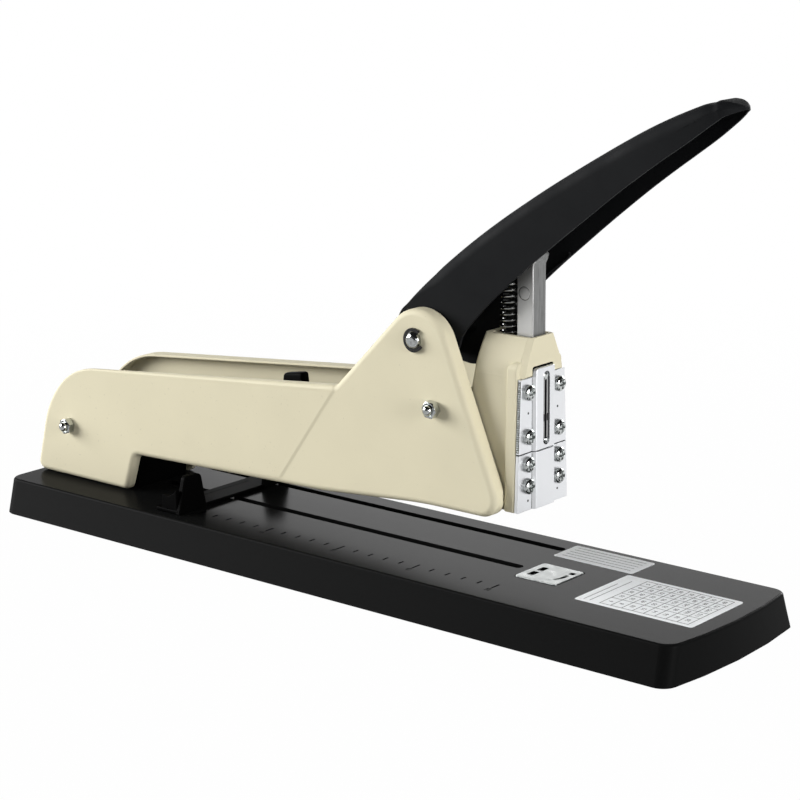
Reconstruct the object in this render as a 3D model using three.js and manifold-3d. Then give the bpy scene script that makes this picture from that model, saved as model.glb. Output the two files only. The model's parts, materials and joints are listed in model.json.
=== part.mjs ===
// Heavy duty stapler with a long throat. A moulded base carries a ruled bed, an anvil and a sliding
// paper guide. Two pressed side covers stand on it and hold the handle pin. Between them swings the
// magazine arm, whose head holds the ram and the driver blade.
// Millimetres, +Z up, head towards +X, origin under the middle of the base.

import * as THREE from 'three';
import { mergeVertices } from 'three/addons/utils/BufferGeometryUtils.js';
import Module from 'manifold-3d';

const wasm = await Module();
wasm.setup();

// Clearances and cutting
const seatGap = 0.3;
const runGap = 0.6;
const holeGap = 0.3;
const overrun = 1;
const roundSides = 20;
const smallSides = 12;

// Base tray
const baseLength = 457.6;
const baseWidth = 110.5;
const baseTop = 20;
const baseSideDraft = 4.65;
const baseEndDraft = 0.8;
const baseCornerRadius = 8;
const baseEdgeRadius = 2;
const baseBulge = 4.5;
const trayWall = 2.4;
const trayDeck = 3;
const rimHeight = 0.4;

// Floor plate, feet and their screws
const footHeight = 2;
const footRadius = 8;
const floorThickness = 1.2;
const footInsetX = 26;
const footInsetY = 20;
const bossRadius = 4.5;
const bossInsetX = 58;
const bossInsetY = 16;
const floorScrewRadius = 1.8;
const floorScrewLength = 9;
const floorScrewHeadRadius = 3.4;
const floorScrewHeadHeight = 1.3;

// Slots in the bed
const slotWidth = 3.9;
const slotRear = -149.2;
const slotFront = 100.8;
const farSlotInset = 19.55;

// Anvil
const anvilLength = 24.7;
const anvilWidth = 25.4;
const anvilSetback = 5.2;
const anvilPocketDepth = 1.8;
const anvilProud = 0.4;
const anvilCornerRadius = 2.5;
const clinchLength = 5;
const clinchWidth = 1.8;
const clinchSpacing = 7.6;
const crescentRadius = 8.5;
const crescentWidth = 1.6;
const anvilHole = 3.6;

// Side covers
const coverSetback = 0.4;
const coverLength = 339.1;
const coverHeight = 132;
const coverOuterY = 28;
const coverDepth = 9;
const coverSheet = 1.6;
const coverEdgeRadius = 3;
const coverFootRadius = 5;
const coverNotchRadius = 4.5;
const coverBellyRadius = 300;
const coverNoseRadius = 9.5;
const coverCrestRadius = 16;
const coverSaddleRadius = 5;
const coverTailRadius = 50;
const coverCornerShares = [
  [0, 0],
  [0.2231, 0],
  [0.2439, 0.1614],
  [0.6464, 0.1917],
  [0.8469, 0.2341],
  [1, 0.2341],
  [0.8622, 1.094],
  [0.6833, 0.63],
  [0.049, 0.4758],
];
const rearBoltShares = [0.0896, 0.2303];
const frontBoltShares = [0.8758, 0.6167];
const handlePinShares = [0.8402, 0.8652];
const noseReliefDepth = 2;
const noseReliefRise = 24;

// Cross bolts, nuts, spacers and the handle pin
const boltRadius = 2.8;
const nutFlats = 8;
const nutHeight = 4;
const boltHeadHeight = 3.4;
const boltTip = 2.7;
const spacerWall = 2;
const handlePinRadius = 4.1;
const handlePinTip = 1.8;
const clipWidth = 1.7;
const clipThickness = 1;
const clipGapShare = 0.114;
const clipTurnShare = 0.03;

// Rear bracket
const bracketHalfWidth = 18.4;
const bracketWall = 1.6;
const bracketFloor = 2;
const bracketNotch = 10.6;
const bracketSill = 17;
const bracketBrow = 26;
const bracketTop = 42;
const bracketScrewRadius = 1.8;
const bracketScrewHeadRadius = 3.4;
const bracketScrewHeadHeight = 2;
const bracketScrewX = 10;
const bracketScrewY = 9;

// Magazine arm
const channelHalfWidth = 9.4;
const channelWall = 1.4;
const channelHeight = 24;
const channelDrop = 6.6;
const channelTail = 14;
const channelSetback = 3;
const armRise = 11.5;
const sleeveWall = 1;
const railHalfWidth = 5.2;
const railHeight = 11;
const railWall = 1.2;
const railTail = 30;
const stapleHalfWidth = 6.5;
const stapleWire = 1;
const stapleStrip = 143.8;
const tongueSetback = 0.8;

// Pusher
const pusherLength = 30;
const pusherRoof = 3;
const knobLength = 16.6;
const knobThickness = 5;
const knobHeight = 33.5;
const knobSlope = 3.8;
const knobFlange = 2;

// Head housing, measured from its front flange face and its underside
const headLead = 1.3;
const throat = 34.3;
const headHeight = 85.2;
const flangeDepth = 5.9;
const flangeHeight = 74;
const flangeShoulder = 3.5;
const flangeHalfFoot = 20.5;
const flangeHalfTop = 18.3;
const plateHeight = 66.7;
const browProud = 2.1;
const bodyLengthShares = [0.375, 0.321, 0.318, 0.29];
const bodyLevelShares = [0, 0.7795, 0.83, 1];
const bodyHalfWidths = [18, 17.6, 15.8, 9.4];
const faceHalfWidths = [17, 16, 14.3, 7.7];
const bodyChamfer = 3.4;

// Ram, spring and driver blade
const ramSide = 9.4;
const ramSetback = 0.7;
const ramFoot = 33.7;
const ramEdge = 0.5;
const ramGap = 0.4;
const ramPinRadius = 3.7;
const ramPinDrop = 22;
const ramPinProud = 0.2;
const bladeThickness = 1.4;
const bladeHalfWidth = 6.1;
const bladeFoot = 15.9;
const bladeLength = 47.8;
const springWire = 1.6;
const springMeanRadius = 5.3;
const springSetback = 16.8;
const springSeat = 72;
const springPitch = 3.05;
const springCapDrop = 8;
const springCapThickness = 2.5;
const springRodRadius = 3;
const springRodHeadroom = 15.5;
const cavityHalfWidth = 7.2;
const cavityWall = 1.5;

// Face plates and their screws
const plateThickness = 2.1;
const plateHalfTop = 17.6;
const plateHalfSplit = 19.2;
const plateHalfFoot = 20.5;
const plateSplit = 29.3;
const ridgeHalfWidth = 7.2;
const ridgeProud = 1.6;
const ridgeSheet = 2;
const ridgeTop = 3.5;
const windowHalfWidth = 2.3;
const windowEndShares = [0.055, 1.035];
const plateScrewY = 12.3;
const plateScrewShares = [0.19, 0.353, 0.56, 0.89];
const plateScrewRadius = 1.7;
const plateScrewLength = 6;
const plateScrewHeadRadius = 3.6;
const plateScrewHeadHeight = 2.1;

// Handle, measured from its pin
const handleReach = 168.9;
const handleRise = 127;
const handleWall = 1.5;
const handleShoulder = 7;
const lugRadius = 20;
const lugHalfWidth = 18.3;
const gripHalfWidth = 16.3;
const lugCrownTurnShares = [0.617, 0.55, 0.478, 0.408, 0.34];
const lugEdgeTurnShares = [0.711, 0.764, 0.825, 0.894, 0.965];
const crownShares = [
  [0.023, 0.257], [0.097, 0.339], [0.173, 0.416], [0.251, 0.489], [0.331, 0.56], [0.412, 0.629],
  [0.494, 0.695], [0.577, 0.76], [0.66, 0.822], [0.745, 0.882], [0.831, 0.936], [0.918, 0.983],
  [0.95, 0.987], [0.975, 0.98], [0.997, 0.966],
];
const edgeShares = [
  [0.14, 0.04], [0.212, 0.146], [0.277, 0.227], [0.346, 0.307], [0.417, 0.385], [0.489, 0.464],
  [0.563, 0.542], [0.637, 0.619], [0.713, 0.694], [0.79, 0.766], [0.866, 0.837], [0.942, 0.914],
  [0.961, 0.935], [0.979, 0.945], [1, 0.952],
];
const gripShares = [0, 0, 0, 0.2, 0.6, 0.9, 1, 1, 1, 1, 1, 1, 1, 1, 1];
const tipShares = [1, 1, 1, 1, 1, 1, 1, 1, 1, 0.99, 0.91, 0.77, 0.67, 0.49, 0.26];
const pressBlockHeight = 15.5;
const pressBlockHalfWidth = 5.5;
const pressBlockLength = 11;

// Paper guide
const guideFront = -96.7;
const guideLength = 18.5;
const guideThickness = 2;
const guideInset = 11.25;
const earWidth = 25.5;
const earTopInset = 5;
const earHeight = 21;
const earThickness = 4.4;
const earLead = 1.5;
const gussetLength = 11.5;
const gussetHeight = 9;
const gussetThickness = 2.5;
const runnerLength = 15;
const runnerWidth = 9;
const runnerThickness = 2.5;

// Heights and places that follow from the sizes
const deckUnder = baseTop - trayDeck;
const bedSeat = baseTop + seatGap;
const farSlotY = baseWidth / 2 - farSlotInset;
const guideHalfWidth = baseWidth / 2 - guideInset;
const coverRear = coverSetback - baseLength / 2;
const coverInnerY = coverOuterY - coverSheet;
const faceX = coverRear + coverLength + headLead;
const headFoot = baseTop + throat;
const floorUnder = footHeight + seatGap;
const floorTop = floorUnder + floorThickness;

// Materials
const finish = (color, roughness, metalness) =>
  new THREE.MeshStandardMaterial({ color, roughness, metalness });
const blackPlastic = finish('#1d1c1b', 0.55, 0);
const blackRubber = finish('#161616', 0.9, 0);
const blackPaint = finish('#17181a', 0.35, 0);
const creamPaint = finish('#ddd5b8', 0.4, 0);
const zinc = finish('#c9ccd0', 0.28, 1);
const steel = finish('#9a9a98', 0.4, 1);
const darkSteel = finish('#3c3b3a', 0.4, 1);

// Point on the cover, from shares of its length and height
const coverPoint = ([x, z]) => new THREE.Vector2(coverRear + x * coverLength, bedSeat + z * coverHeight);
const rearBolt = coverPoint(rearBoltShares);
const frontBolt = coverPoint(frontBoltShares);
const handlePin = coverPoint(handlePinShares);

// Crown and lower edge of the handle from its pin, and the steel block that hangs under its crown
const polar = (share) => new THREE.Vector2(
  lugRadius * Math.cos(2 * Math.PI * share), lugRadius * Math.sin(2 * Math.PI * share));
const scaled = ([x, z]) => new THREE.Vector2(x * handleReach, z * handleRise);
const crown = [...lugCrownTurnShares.map(polar), ...crownShares.map(scaled)];
const lowerEdge = [...lugEdgeTurnShares.map(polar), ...edgeShares.map(scaled)];
const halfWidths = [
  ...lugCrownTurnShares.map(() => lugHalfWidth),
  ...gripShares.map((share, i) => THREE.MathUtils.lerp(lugHalfWidth, gripHalfWidth, share) * tipShares[i]),
];
function crownAt(x) {
  const i = crown.findIndex((p, k) => k > lugCrownTurnShares.length && p.x >= x);
  const rise = (crown[i].y - crown[i - 1].y) / (crown[i].x - crown[i - 1].x);
  return crown[i - 1].y + rise * (x - crown[i - 1].x) - (handleWall + seatGap * 2) * Math.hypot(1, rise);
}
const blockMiddle = faceX - ramSetback - ramSide / 2 - handlePin.x;
const blockRear = blockMiddle - pressBlockLength / 2;
const blockFront = blockMiddle + pressBlockLength / 2;
const blockFoot = crownAt(blockRear) - pressBlockHeight;

// Booleans between closed meshes
function toSolid(geometry) {
  const bare = geometry.clone();
  bare.deleteAttribute('normal');
  bare.deleteAttribute('uv');
  const merged = mergeVertices(bare);
  const vertProperties = new Float32Array(merged.attributes.position.array);
  const triVerts = new Uint32Array(merged.index.array);
  return new wasm.Manifold(new wasm.Mesh({ numProp: 3, vertProperties, triVerts }));
}

function toGeometry(solid) {
  const mesh = solid.getMesh();
  const geometry = new THREE.BufferGeometry();
  geometry.setAttribute('position', new THREE.BufferAttribute(new Float32Array(mesh.vertProperties), 3));
  geometry.setIndex(new THREE.BufferAttribute(new Uint32Array(mesh.triVerts), 1));
  geometry.computeVertexNormals();
  return geometry;
}

function join(...geometries) {
  return toGeometry(geometries.map(toSolid).reduce((sum, next) => sum.add(next)));
}

function cut(geometry, ...tools) {
  return toGeometry(tools.map(toSolid).reduce((left, tool) => left.subtract(tool), toSolid(geometry)));
}

// Points placed in a plane square to one axis
function onPlane(points, axis, at) {
  if (axis === 'x') return points.map((p) => new THREE.Vector3(at, p.x, p.y));
  if (axis === 'y') return points.map((p) => new THREE.Vector3(p.x, at, p.y));
  return points.map((p) => new THREE.Vector3(p.x, p.y, at));
}

// Triangles of a flat cap, in the order of its ring when forward is true
function capTriangles(ring, forward) {
  const normal = new THREE.Vector3();
  ring.forEach((p, i) => {
    const q = ring[(i + 1) % ring.length];
    normal.add(new THREE.Vector3().crossVectors(p, q));
  });
  const size = ['x', 'y', 'z'].map((key) => Math.abs(normal[key]));
  const drop = size.indexOf(Math.max(...size));
  const [u, v] = ['x', 'y', 'z'].filter((key, i) => i !== drop);
  const flat = ring.map((p) => new THREE.Vector2(p[u], p[v]));
  const turn = Math.sign(THREE.ShapeUtils.area(flat));
  return THREE.ShapeUtils.triangulateShape(flat, []).map(([a, b, c]) => {
    const same = Math.sign(THREE.ShapeUtils.area([flat[a], flat[b], flat[c]])) === turn;
    return same === forward ? [a, b, c] : [a, c, b];
  });
}

// Closed skin through rings of equal count, capped flat at both ends
function loft(rings) {
  const count = rings[0].length;
  const last = (rings.length - 1) * count;
  const points = rings.flat();
  const index = [];
  for (let i = 0; i < last; i += count) {
    for (let j = 0; j < count; j += 1) {
      const k = (j + 1) % count;
      index.push(i + j, i + k, i + count + k, i + j, i + count + k, i + count + j);
    }
  }
  capTriangles(rings[0], false).forEach((t) => index.push(...t));
  capTriangles(rings[rings.length - 1], true).forEach((t) => index.push(...t.map((n) => n + last)));
  let volume = 0;
  for (let i = 0; i < index.length; i += 3) {
    const [a, b, c] = index.slice(i, i + 3).map((n) => points[n]);
    volume += a.dot(new THREE.Vector3().crossVectors(b, c));
  }
  if (volume < 0) index.reverse();
  const geometry = new THREE.BufferGeometry().setFromPoints(points);
  geometry.setIndex(index);
  geometry.computeVertexNormals();
  return geometry;
}

const prism = (points, axis, from, to) => loft([onPlane(points, axis, from), onPlane(points, axis, to)]);

function block(x0, x1, y0, y1, z0, z1) {
  const geometry = new THREE.BoxGeometry(x1 - x0, y1 - y0, z1 - z0);
  return geometry.translate((x0 + x1) / 2, (y0 + y1) / 2, (z0 + z1) / 2);
}

// Polygon with rounded corners, each corner given as a point and a radius
function rounded(corners, steps) {
  return corners.flatMap(({ point, radius }, i) => {
    if (radius <= 0) return [point];
    const before = corners[(i + corners.length - 1) % corners.length].point;
    const after = corners[(i + 1) % corners.length].point;
    const back = before.clone().sub(point).normalize();
    const ahead = after.clone().sub(point).normalize();
    const half = Math.acos(THREE.MathUtils.clamp(back.dot(ahead), -1, 1)) / 2;
    const centre = point.clone().add(back.clone().add(ahead).normalize().multiplyScalar(radius / Math.sin(half)));
    const start = point.clone().addScaledVector(back, radius / Math.tan(half)).sub(centre);
    const end = point.clone().addScaledVector(ahead, radius / Math.tan(half)).sub(centre);
    const sweep = Math.atan2(start.cross(end), start.dot(end));
    return Array.from({ length: steps + 1 }, (_, k) =>
      start.clone().rotateAround(new THREE.Vector2(), (sweep * k) / steps).add(centre));
  });
}

// The same corners with every side moved inwards; the corners run anticlockwise
function insetCorners(corners, inset) {
  return corners.map(({ point, radius }, i) => {
    const before = corners[(i + corners.length - 1) % corners.length].point;
    const after = corners[(i + 1) % corners.length].point;
    const u = point.clone().sub(before).normalize();
    const v = after.clone().sub(point).normalize();
    const left = new THREE.Vector2(-u.y - v.y, u.x + v.x).normalize();
    const reach = inset / Math.max(left.dot(new THREE.Vector2(-u.y, u.x)), Number.EPSILON);
    const grown = u.cross(v) > 0 ? Math.max(radius - inset, radius / roundSides) : radius + inset;
    return { point: point.clone().addScaledVector(left, reach), radius: radius > 0 ? grown : 0 };
  });
}

const corner = (x, y, radius) => ({ point: new THREE.Vector2(x, y), radius });

function boxOutline(x0, x1, y0, y1, radius, steps) {
  return rounded([corner(x0, y0, radius), corner(x1, y0, radius), corner(x1, y1, radius), corner(x0, y1, radius)], steps);
}

function circle(x, y, radius, sides) {
  return Array.from({ length: sides }, (_, i) => {
    const turn = (2 * Math.PI * i) / sides;
    return new THREE.Vector2(x + radius * Math.cos(turn), y + radius * Math.sin(turn));
  });
}

// Round bar along Y through a point given in X and Z
const crossBar = (at, radius, from, to) => prism(circle(at.x, at.y, radius, roundSides), 'y', from, to);

// Turned shape from radius and height pairs along Z
function turned(profile, sides) {
  return new THREE.LatheGeometry(profile.map(([r, z]) => new THREE.Vector2(r, z)), sides).rotateX(Math.PI / 2);
}

// Tube with square ends along Y
function crossTube(at, outer, inner, from, to) {
  const shell = crossBar(at, outer, from, to);
  return cut(shell, crossBar(at, inner, Math.min(from, to) - overrun, Math.max(from, to) + overrun));
}

// Pan head screw along Z, underside of its head at zero, shank downwards
function screw(shankRadius, shankLength, headRadius, headHeight) {
  return turned([
    [0, -shankLength],
    [shankRadius, -shankLength],
    [shankRadius, 0],
    [headRadius, 0],
    [headRadius, headHeight / 2],
    [headRadius - headHeight / 3, headHeight - headHeight / 8],
    [0, headHeight],
  ], smallSides);
}

const stapler = new THREE.Group();
const bed = new THREE.Group();
const frame = new THREE.Group();
const arm = new THREE.Group();
const head = new THREE.Group();
const handle = new THREE.Group();
const guide = new THREE.Group();
arm.position.set(rearBolt.x, 0, rearBolt.y);
head.position.set(faceX, 0, headFoot);
handle.position.set(handlePin.x, 0, handlePin.y);
guide.position.set(guideFront, 0, bedSeat);
stapler.add(bed, frame, arm, head, handle, guide);

function piece(parent, name, geometry, material, x = 0, y = 0, z = 0) {
  const mesh = new THREE.Mesh(geometry, material.clone());
  mesh.name = name;
  mesh.position.set(x, y, z);
  parent.add(mesh);
  return mesh;
}

// Base outline with straight sides and a bowed front end
function baseRing(z, inset) {
  const draft = (baseSideDraft * (z - rimHeight)) / (baseTop - baseEdgeRadius - rimHeight);
  const endDraft = (baseEndDraft * (z - rimHeight)) / (baseTop - baseEdgeRadius - rimHeight);
  const side = baseWidth / 2 - Math.min(draft, baseSideDraft) - inset;
  const end = baseLength / 2 - Math.min(endDraft, baseEndDraft) - inset;
  const bowed = [-0.5, 0, 0.5].map((share) =>
    corner(end - baseBulge * share * share, side * share, 0));
  const corners = [
    corner(-end, -side, baseCornerRadius),
    corner(end - baseBulge, -side, baseCornerRadius),
    ...bowed,
    corner(end - baseBulge, side, baseCornerRadius),
    corner(-end, side, baseCornerRadius),
  ];
  return onPlane(rounded(corners, 4), 'z', z);
}

const filletShare = 1 - Math.SQRT1_2;
const trayShell = loft([
  baseRing(rimHeight, 0),
  baseRing(baseTop - baseEdgeRadius, 0),
  baseRing(baseTop - baseEdgeRadius * filletShare, baseEdgeRadius * filletShare),
  baseRing(baseTop, baseEdgeRadius),
]);
const trayHollow = loft([
  baseRing(rimHeight - overrun, trayWall),
  baseRing(rimHeight, trayWall),
  baseRing(deckUnder, trayWall),
]);

const fourCorners = [[-1, -1], [1, -1], [1, 1], [-1, 1]];
const bossPlaces = fourCorners.map(([sx, sy]) =>
  [sx * (baseLength / 2 - bossInsetX), sy * (baseWidth / 2 - bossInsetY)]);
const bosses = bossPlaces.map(([x, y]) =>
  prism(circle(x, y, bossRadius, smallSides), 'z', floorTop + seatGap, deckUnder + overrun));
const bossHoles = bossPlaces.map(([x, y]) =>
  prism(circle(x, y, floorScrewRadius + holeGap, smallSides), 'z', floorTop, floorUnder + floorScrewLength + holeGap));

const slotTool = (y) => prism(
  boxOutline(slotRear, slotFront, y - slotWidth / 2, y + slotWidth / 2, slotWidth / 2, 4),
  'z', deckUnder - overrun, baseTop + overrun);

// The staple leaves the head on this line when the head is down
const driveX = faceX;
const anvilRear = driveX - anvilSetback;
const anvilPocket = prism(
  boxOutline(anvilRear - seatGap, anvilRear + anvilLength + seatGap,
    -anvilWidth / 2 - seatGap, anvilWidth / 2 + seatGap, anvilCornerRadius + seatGap, 3),
  'z', baseTop - anvilPocketDepth, baseTop + overrun);

const bracketFrontX = coverPoint(coverCornerShares[1]).x;
const bracketRearX = coverRear + coverFootRadius;
const bracketScrewPlaces = fourCorners.map(([sx, sy]) => [
  sx < 0 ? bracketRearX + bracketScrewX : bracketFrontX - bracketScrewX, sy * bracketScrewY]);
const bracketScrewDepth = trayDeck + bracketFloor - seatGap;
const deckScrewHoles = bracketScrewPlaces.map(([x, y]) =>
  prism(circle(x, y, bracketScrewRadius + holeGap, smallSides), 'z', deckUnder - overrun, baseTop + overrun));

piece(bed, 'base_tray', cut(
  join(cut(trayShell, trayHollow), ...bosses),
  ...bossHoles, slotTool(0), slotTool(farSlotY), anvilPocket, ...deckScrewHoles), blackPlastic);

// Floor plate inside the skirt, its screws and its rubber feet
const floorPlate = loft([
  baseRing(floorUnder, trayWall + runGap),
  baseRing(floorTop, trayWall + runGap),
]);
const floorHoles = bossPlaces.map(([x, y]) =>
  prism(circle(x, y, floorScrewRadius + holeGap, smallSides), 'z', floorUnder - overrun, floorTop + overrun));
piece(bed, 'floor_plate', cut(floorPlate, ...floorHoles), darkSteel);

bossPlaces.forEach(([x, y], i) => {
  const geometry = screw(floorScrewRadius, floorScrewLength - floorThickness, floorScrewHeadRadius, floorScrewHeadHeight);
  geometry.rotateX(Math.PI);
  piece(bed, `floor_screw_${i + 1}`, geometry, zinc, x, y, floorUnder - seatGap);
});

fourCorners.forEach(([sx, sy], i) => {
  const foot = turned([
    [0, 0],
    [footRadius - footHeight / 2, 0],
    [footRadius, footHeight / 2],
    [footRadius, footHeight],
    [0, footHeight],
  ], roundSides);
  const x = sx * (baseLength / 2 - footInsetX);
  const y = sy * (baseWidth / 2 - footInsetY);
  piece(bed, `rubber_foot_${i + 1}`, foot, blackRubber, x, y, 0);
});

// Anvil plate with two clinch slots, a crescent and a square hole
function slotShape(x, y, lengthY, widthX) {
  return boxOutline(x - widthX / 2, x + widthX / 2, y - lengthY / 2, y + lengthY / 2, widthX / 2, 3);
}
const crescentX = anvilLength / 3;
const crescentArc = (radius, turns) => turns.map((turn) => new THREE.Vector2(
  crescentX + radius * Math.cos(turn * Math.PI), radius * Math.sin(turn * Math.PI)));
const crescentTurnShares = [-0.27, -0.18, -0.09, 0, 0.09, 0.18];
const crescent = [
  ...crescentArc(crescentRadius + crescentWidth / 2, crescentTurnShares),
  ...crescentArc(crescentRadius - crescentWidth / 2, [...crescentTurnShares].reverse()),
];
const anvilThickness = anvilPocketDepth - seatGap + anvilProud;
const anvilTools = [
  slotShape(anvilSetback, -clinchSpacing / 2, clinchLength, clinchWidth),
  slotShape(anvilSetback, clinchSpacing / 2, clinchLength, clinchWidth),
  crescent,
  boxOutline(anvilLength - anvilHole * 1.6, anvilLength - anvilHole * 0.6,
    anvilHole, anvilHole * 2, anvilHole / 8, 2),
].map((outline) => prism(outline, 'z', -overrun, anvilThickness + overrun));
const anvilBlank = prism(
  boxOutline(0, anvilLength, -anvilWidth / 2, anvilWidth / 2, anvilCornerRadius, 3), 'z', 0, anvilThickness);
piece(bed, 'anvil_plate', cut(anvilBlank, ...anvilTools), zinc, anvilRear, 0, baseTop - anvilPocketDepth + seatGap);

// Rear bracket, a folded box open at the top and at the back
const bracketHole = (radius) => crossBar(rearBolt, radius, -bracketHalfWidth - overrun, bracketHalfWidth + overrun);
const bracketBlank = prism(rounded([
  corner(bracketRearX, bedSeat, 0),
  corner(bracketFrontX, bedSeat, 0),
  corner(bracketFrontX, bedSeat + bracketBrow, bracketWall),
  corner(rearBolt.x + bracketTop / 2, bedSeat + bracketTop, bracketTop / 4),
  corner(bracketRearX, bedSeat + bracketTop, bracketTop / 4),
], 3), 'y', -bracketHalfWidth, bracketHalfWidth);
const bracketInner = block(bracketRearX - overrun, bracketFrontX - bracketWall,
  bracketWall - bracketHalfWidth, bracketHalfWidth - bracketWall,
  bedSeat + bracketFloor, bedSeat + bracketTop + overrun);
const bracketWindow = block(bracketFrontX - bracketWall - overrun, bracketFrontX + overrun,
  -bracketNotch, bracketNotch, bedSeat + bracketSill, bedSeat + bracketTop);
const bracketScrewHoles = bracketScrewPlaces.map(([x, y]) =>
  prism(circle(x, y, bracketScrewRadius + holeGap, smallSides), 'z', bedSeat - overrun, bedSeat + bracketFloor + overrun));
piece(frame, 'rear_bracket', cut(bracketBlank, bracketInner, bracketWindow,
  bracketHole(boltRadius + holeGap), ...bracketScrewHoles), blackPaint);
bracketScrewPlaces.forEach(([x, y], i) => {
  const geometry = screw(bracketScrewRadius, bracketScrewDepth, bracketScrewHeadRadius, bracketScrewHeadHeight);
  piece(frame, `bracket_screw_${i + 1}`, geometry, zinc, x, y, bedSeat + bracketFloor + seatGap);
});

// Side covers, each a pressed pan with a rounded edge and an inward rim
const coverRadii = [
  coverFootRadius, coverFootRadius, coverNotchRadius, coverBellyRadius, coverBellyRadius,
  coverNoseRadius, coverCrestRadius, coverSaddleRadius, coverTailRadius,
];
const coverCorners = coverCornerShares.map((share, i) => ({ point: coverPoint(share), radius: coverRadii[i] }));
const coverSteps = 5;
function coverRing(side, y, inset) {
  return onPlane(rounded(insetCorners(coverCorners, inset), coverSteps), 'y', side * y);
}
function coverPan(side) {
  const rim = coverOuterY - coverDepth;
  const skin = loft([
    coverRing(side, rim, 0),
    coverRing(side, coverOuterY - coverEdgeRadius, 0),
    coverRing(side, coverOuterY - coverEdgeRadius * 0.5, coverEdgeRadius * 0.134),
    coverRing(side, coverOuterY - coverEdgeRadius * 0.134, coverEdgeRadius * 0.5),
    coverRing(side, coverOuterY, coverEdgeRadius),
  ]);
  const hollow = loft([
    coverRing(side, rim - overrun, coverSheet),
    coverRing(side, rim, coverSheet),
    coverRing(side, coverInnerY - coverEdgeRadius / 2, coverSheet),
    coverRing(side, coverInnerY, coverSheet + coverEdgeRadius / 2),
  ]);
  const hole = (at, radius) => crossBar(at, radius, side * (coverInnerY - overrun), side * (coverOuterY + overrun));
  const noseRelief = block(faceX - flangeDepth - runGap, faceX, -flangeHalfFoot - runGap, flangeHalfFoot + runGap,
    headFoot - noseReliefDepth, headFoot + noseReliefRise);
  return cut(skin, hollow, noseRelief,
    hole(rearBolt, boltRadius + holeGap),
    hole(frontBolt, boltRadius + holeGap),
    hole(handlePin, handlePinRadius + holeGap));
}
piece(frame, 'cover_near', coverPan(-1), creamPaint);
piece(frame, 'cover_far', coverPan(1), creamPaint);

// Bolts across the covers, head on the far side and domed tip on the near side
const nutSeat = coverOuterY + seatGap;
function crossBolt(radius, headFlats) {
  const tip = nutSeat + nutHeight + boltTip;
  return turned([
    [0, -tip],
    [radius * 0.55, -tip + radius * 0.1],
    [radius * 0.9, -tip + radius * 0.5],
    [radius, -tip + radius],
    [radius, nutSeat],
    [headFlats / 2, nutSeat],
    [headFlats / 2, nutSeat + boltHeadHeight * 0.7],
    [headFlats / 2 - boltHeadHeight * 0.3, nutSeat + boltHeadHeight],
    [0, nutSeat + boltHeadHeight],
  ], roundSides).rotateX(-Math.PI / 2);
}
function hexNut(radius, flats) {
  const outline = circle(0, 0, flats / Math.sqrt(3), 6);
  const hole = circle(0, 0, radius + holeGap, roundSides);
  return cut(prism(outline, 'y', -nutSeat - nutHeight, -nutSeat),
    prism(hole, 'y', -nutSeat - nutHeight - overrun, -nutSeat + overrun));
}
piece(frame, 'rear_bolt', crossBolt(boltRadius, nutFlats), zinc, rearBolt.x, 0, rearBolt.y);
piece(frame, 'rear_nut', hexNut(boltRadius, nutFlats), zinc, rearBolt.x, 0, rearBolt.y);
piece(frame, 'front_bolt', crossBolt(boltRadius, nutFlats), zinc, frontBolt.x, 0, frontBolt.y);
piece(frame, 'front_nut', hexNut(boltRadius, nutFlats), zinc, frontBolt.x, 0, frontBolt.y);
const centreLine = new THREE.Vector2();
piece(frame, 'front_spacer', crossTube(centreLine, boltRadius + holeGap + spacerWall,
  boltRadius + holeGap, -coverInnerY + seatGap, coverInnerY - seatGap), zinc, frontBolt.x, 0, frontBolt.y);
[['near', -1], ['far', 1]].forEach(([name, side]) => {
  const tube = crossTube(centreLine, boltRadius + holeGap + spacerWall, boltRadius + holeGap,
    side * (bracketHalfWidth + seatGap), side * (coverInnerY - seatGap));
  piece(frame, `rear_spacer_${name}`, tube, zinc, rearBolt.x, 0, rearBolt.y);
});

// Handle pin with a spring clip outside each cover
const clipSeat = coverOuterY + seatGap;
const pinEnd = clipSeat + clipThickness + handlePinTip;
piece(frame, 'handle_pin', turned([
  [0, -pinEnd],
  [handlePinRadius * 0.5, -pinEnd + handlePinTip * 0.1],
  [handlePinRadius * 0.9, -pinEnd + handlePinTip * 0.45],
  [handlePinRadius, -pinEnd + handlePinTip],
  [handlePinRadius, pinEnd - handlePinTip],
  [handlePinRadius * 0.9, pinEnd - handlePinTip * 0.45],
  [handlePinRadius * 0.5, pinEnd - handlePinTip * 0.1],
  [0, pinEnd],
], roundSides).rotateX(-Math.PI / 2), zinc, handlePin.x, 0, handlePin.y);
const clipInner = handlePinRadius + holeGap;
const clipArc = (radius) => Array.from({ length: roundSides + 1 }, (_, i) => {
  const turn = 2 * Math.PI * (clipTurnShare + clipGapShare + ((1 - 2 * clipGapShare) * i) / roundSides);
  return new THREE.Vector2(radius * Math.cos(turn), radius * Math.sin(turn));
});
const clipOutline = [...clipArc(clipInner + clipWidth), ...clipArc(clipInner).reverse()];
[['near', -1], ['far', 1]].forEach(([name, side]) => {
  const clip = prism(clipOutline, 'y', side * clipSeat, side * (clipSeat + clipThickness));
  piece(frame, `pin_clip_${name}`, clip, darkSteel, handlePin.x, 0, handlePin.y);
});

// Magazine arm: lengths run along the arm from the rear bolt, which it turns on
const channelEnd = faceX - channelSetback - rearBolt.x;
const railEnd = faceX - tongueSetback - rearBolt.x;
const armTurn = Math.atan2(armRise, channelEnd);
const floorZ = -channelDrop;
const innerFloorZ = floorZ + channelWall;
const railTop = innerFloorZ + seatGap + railHeight;
arm.rotation.y = -armTurn;

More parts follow.
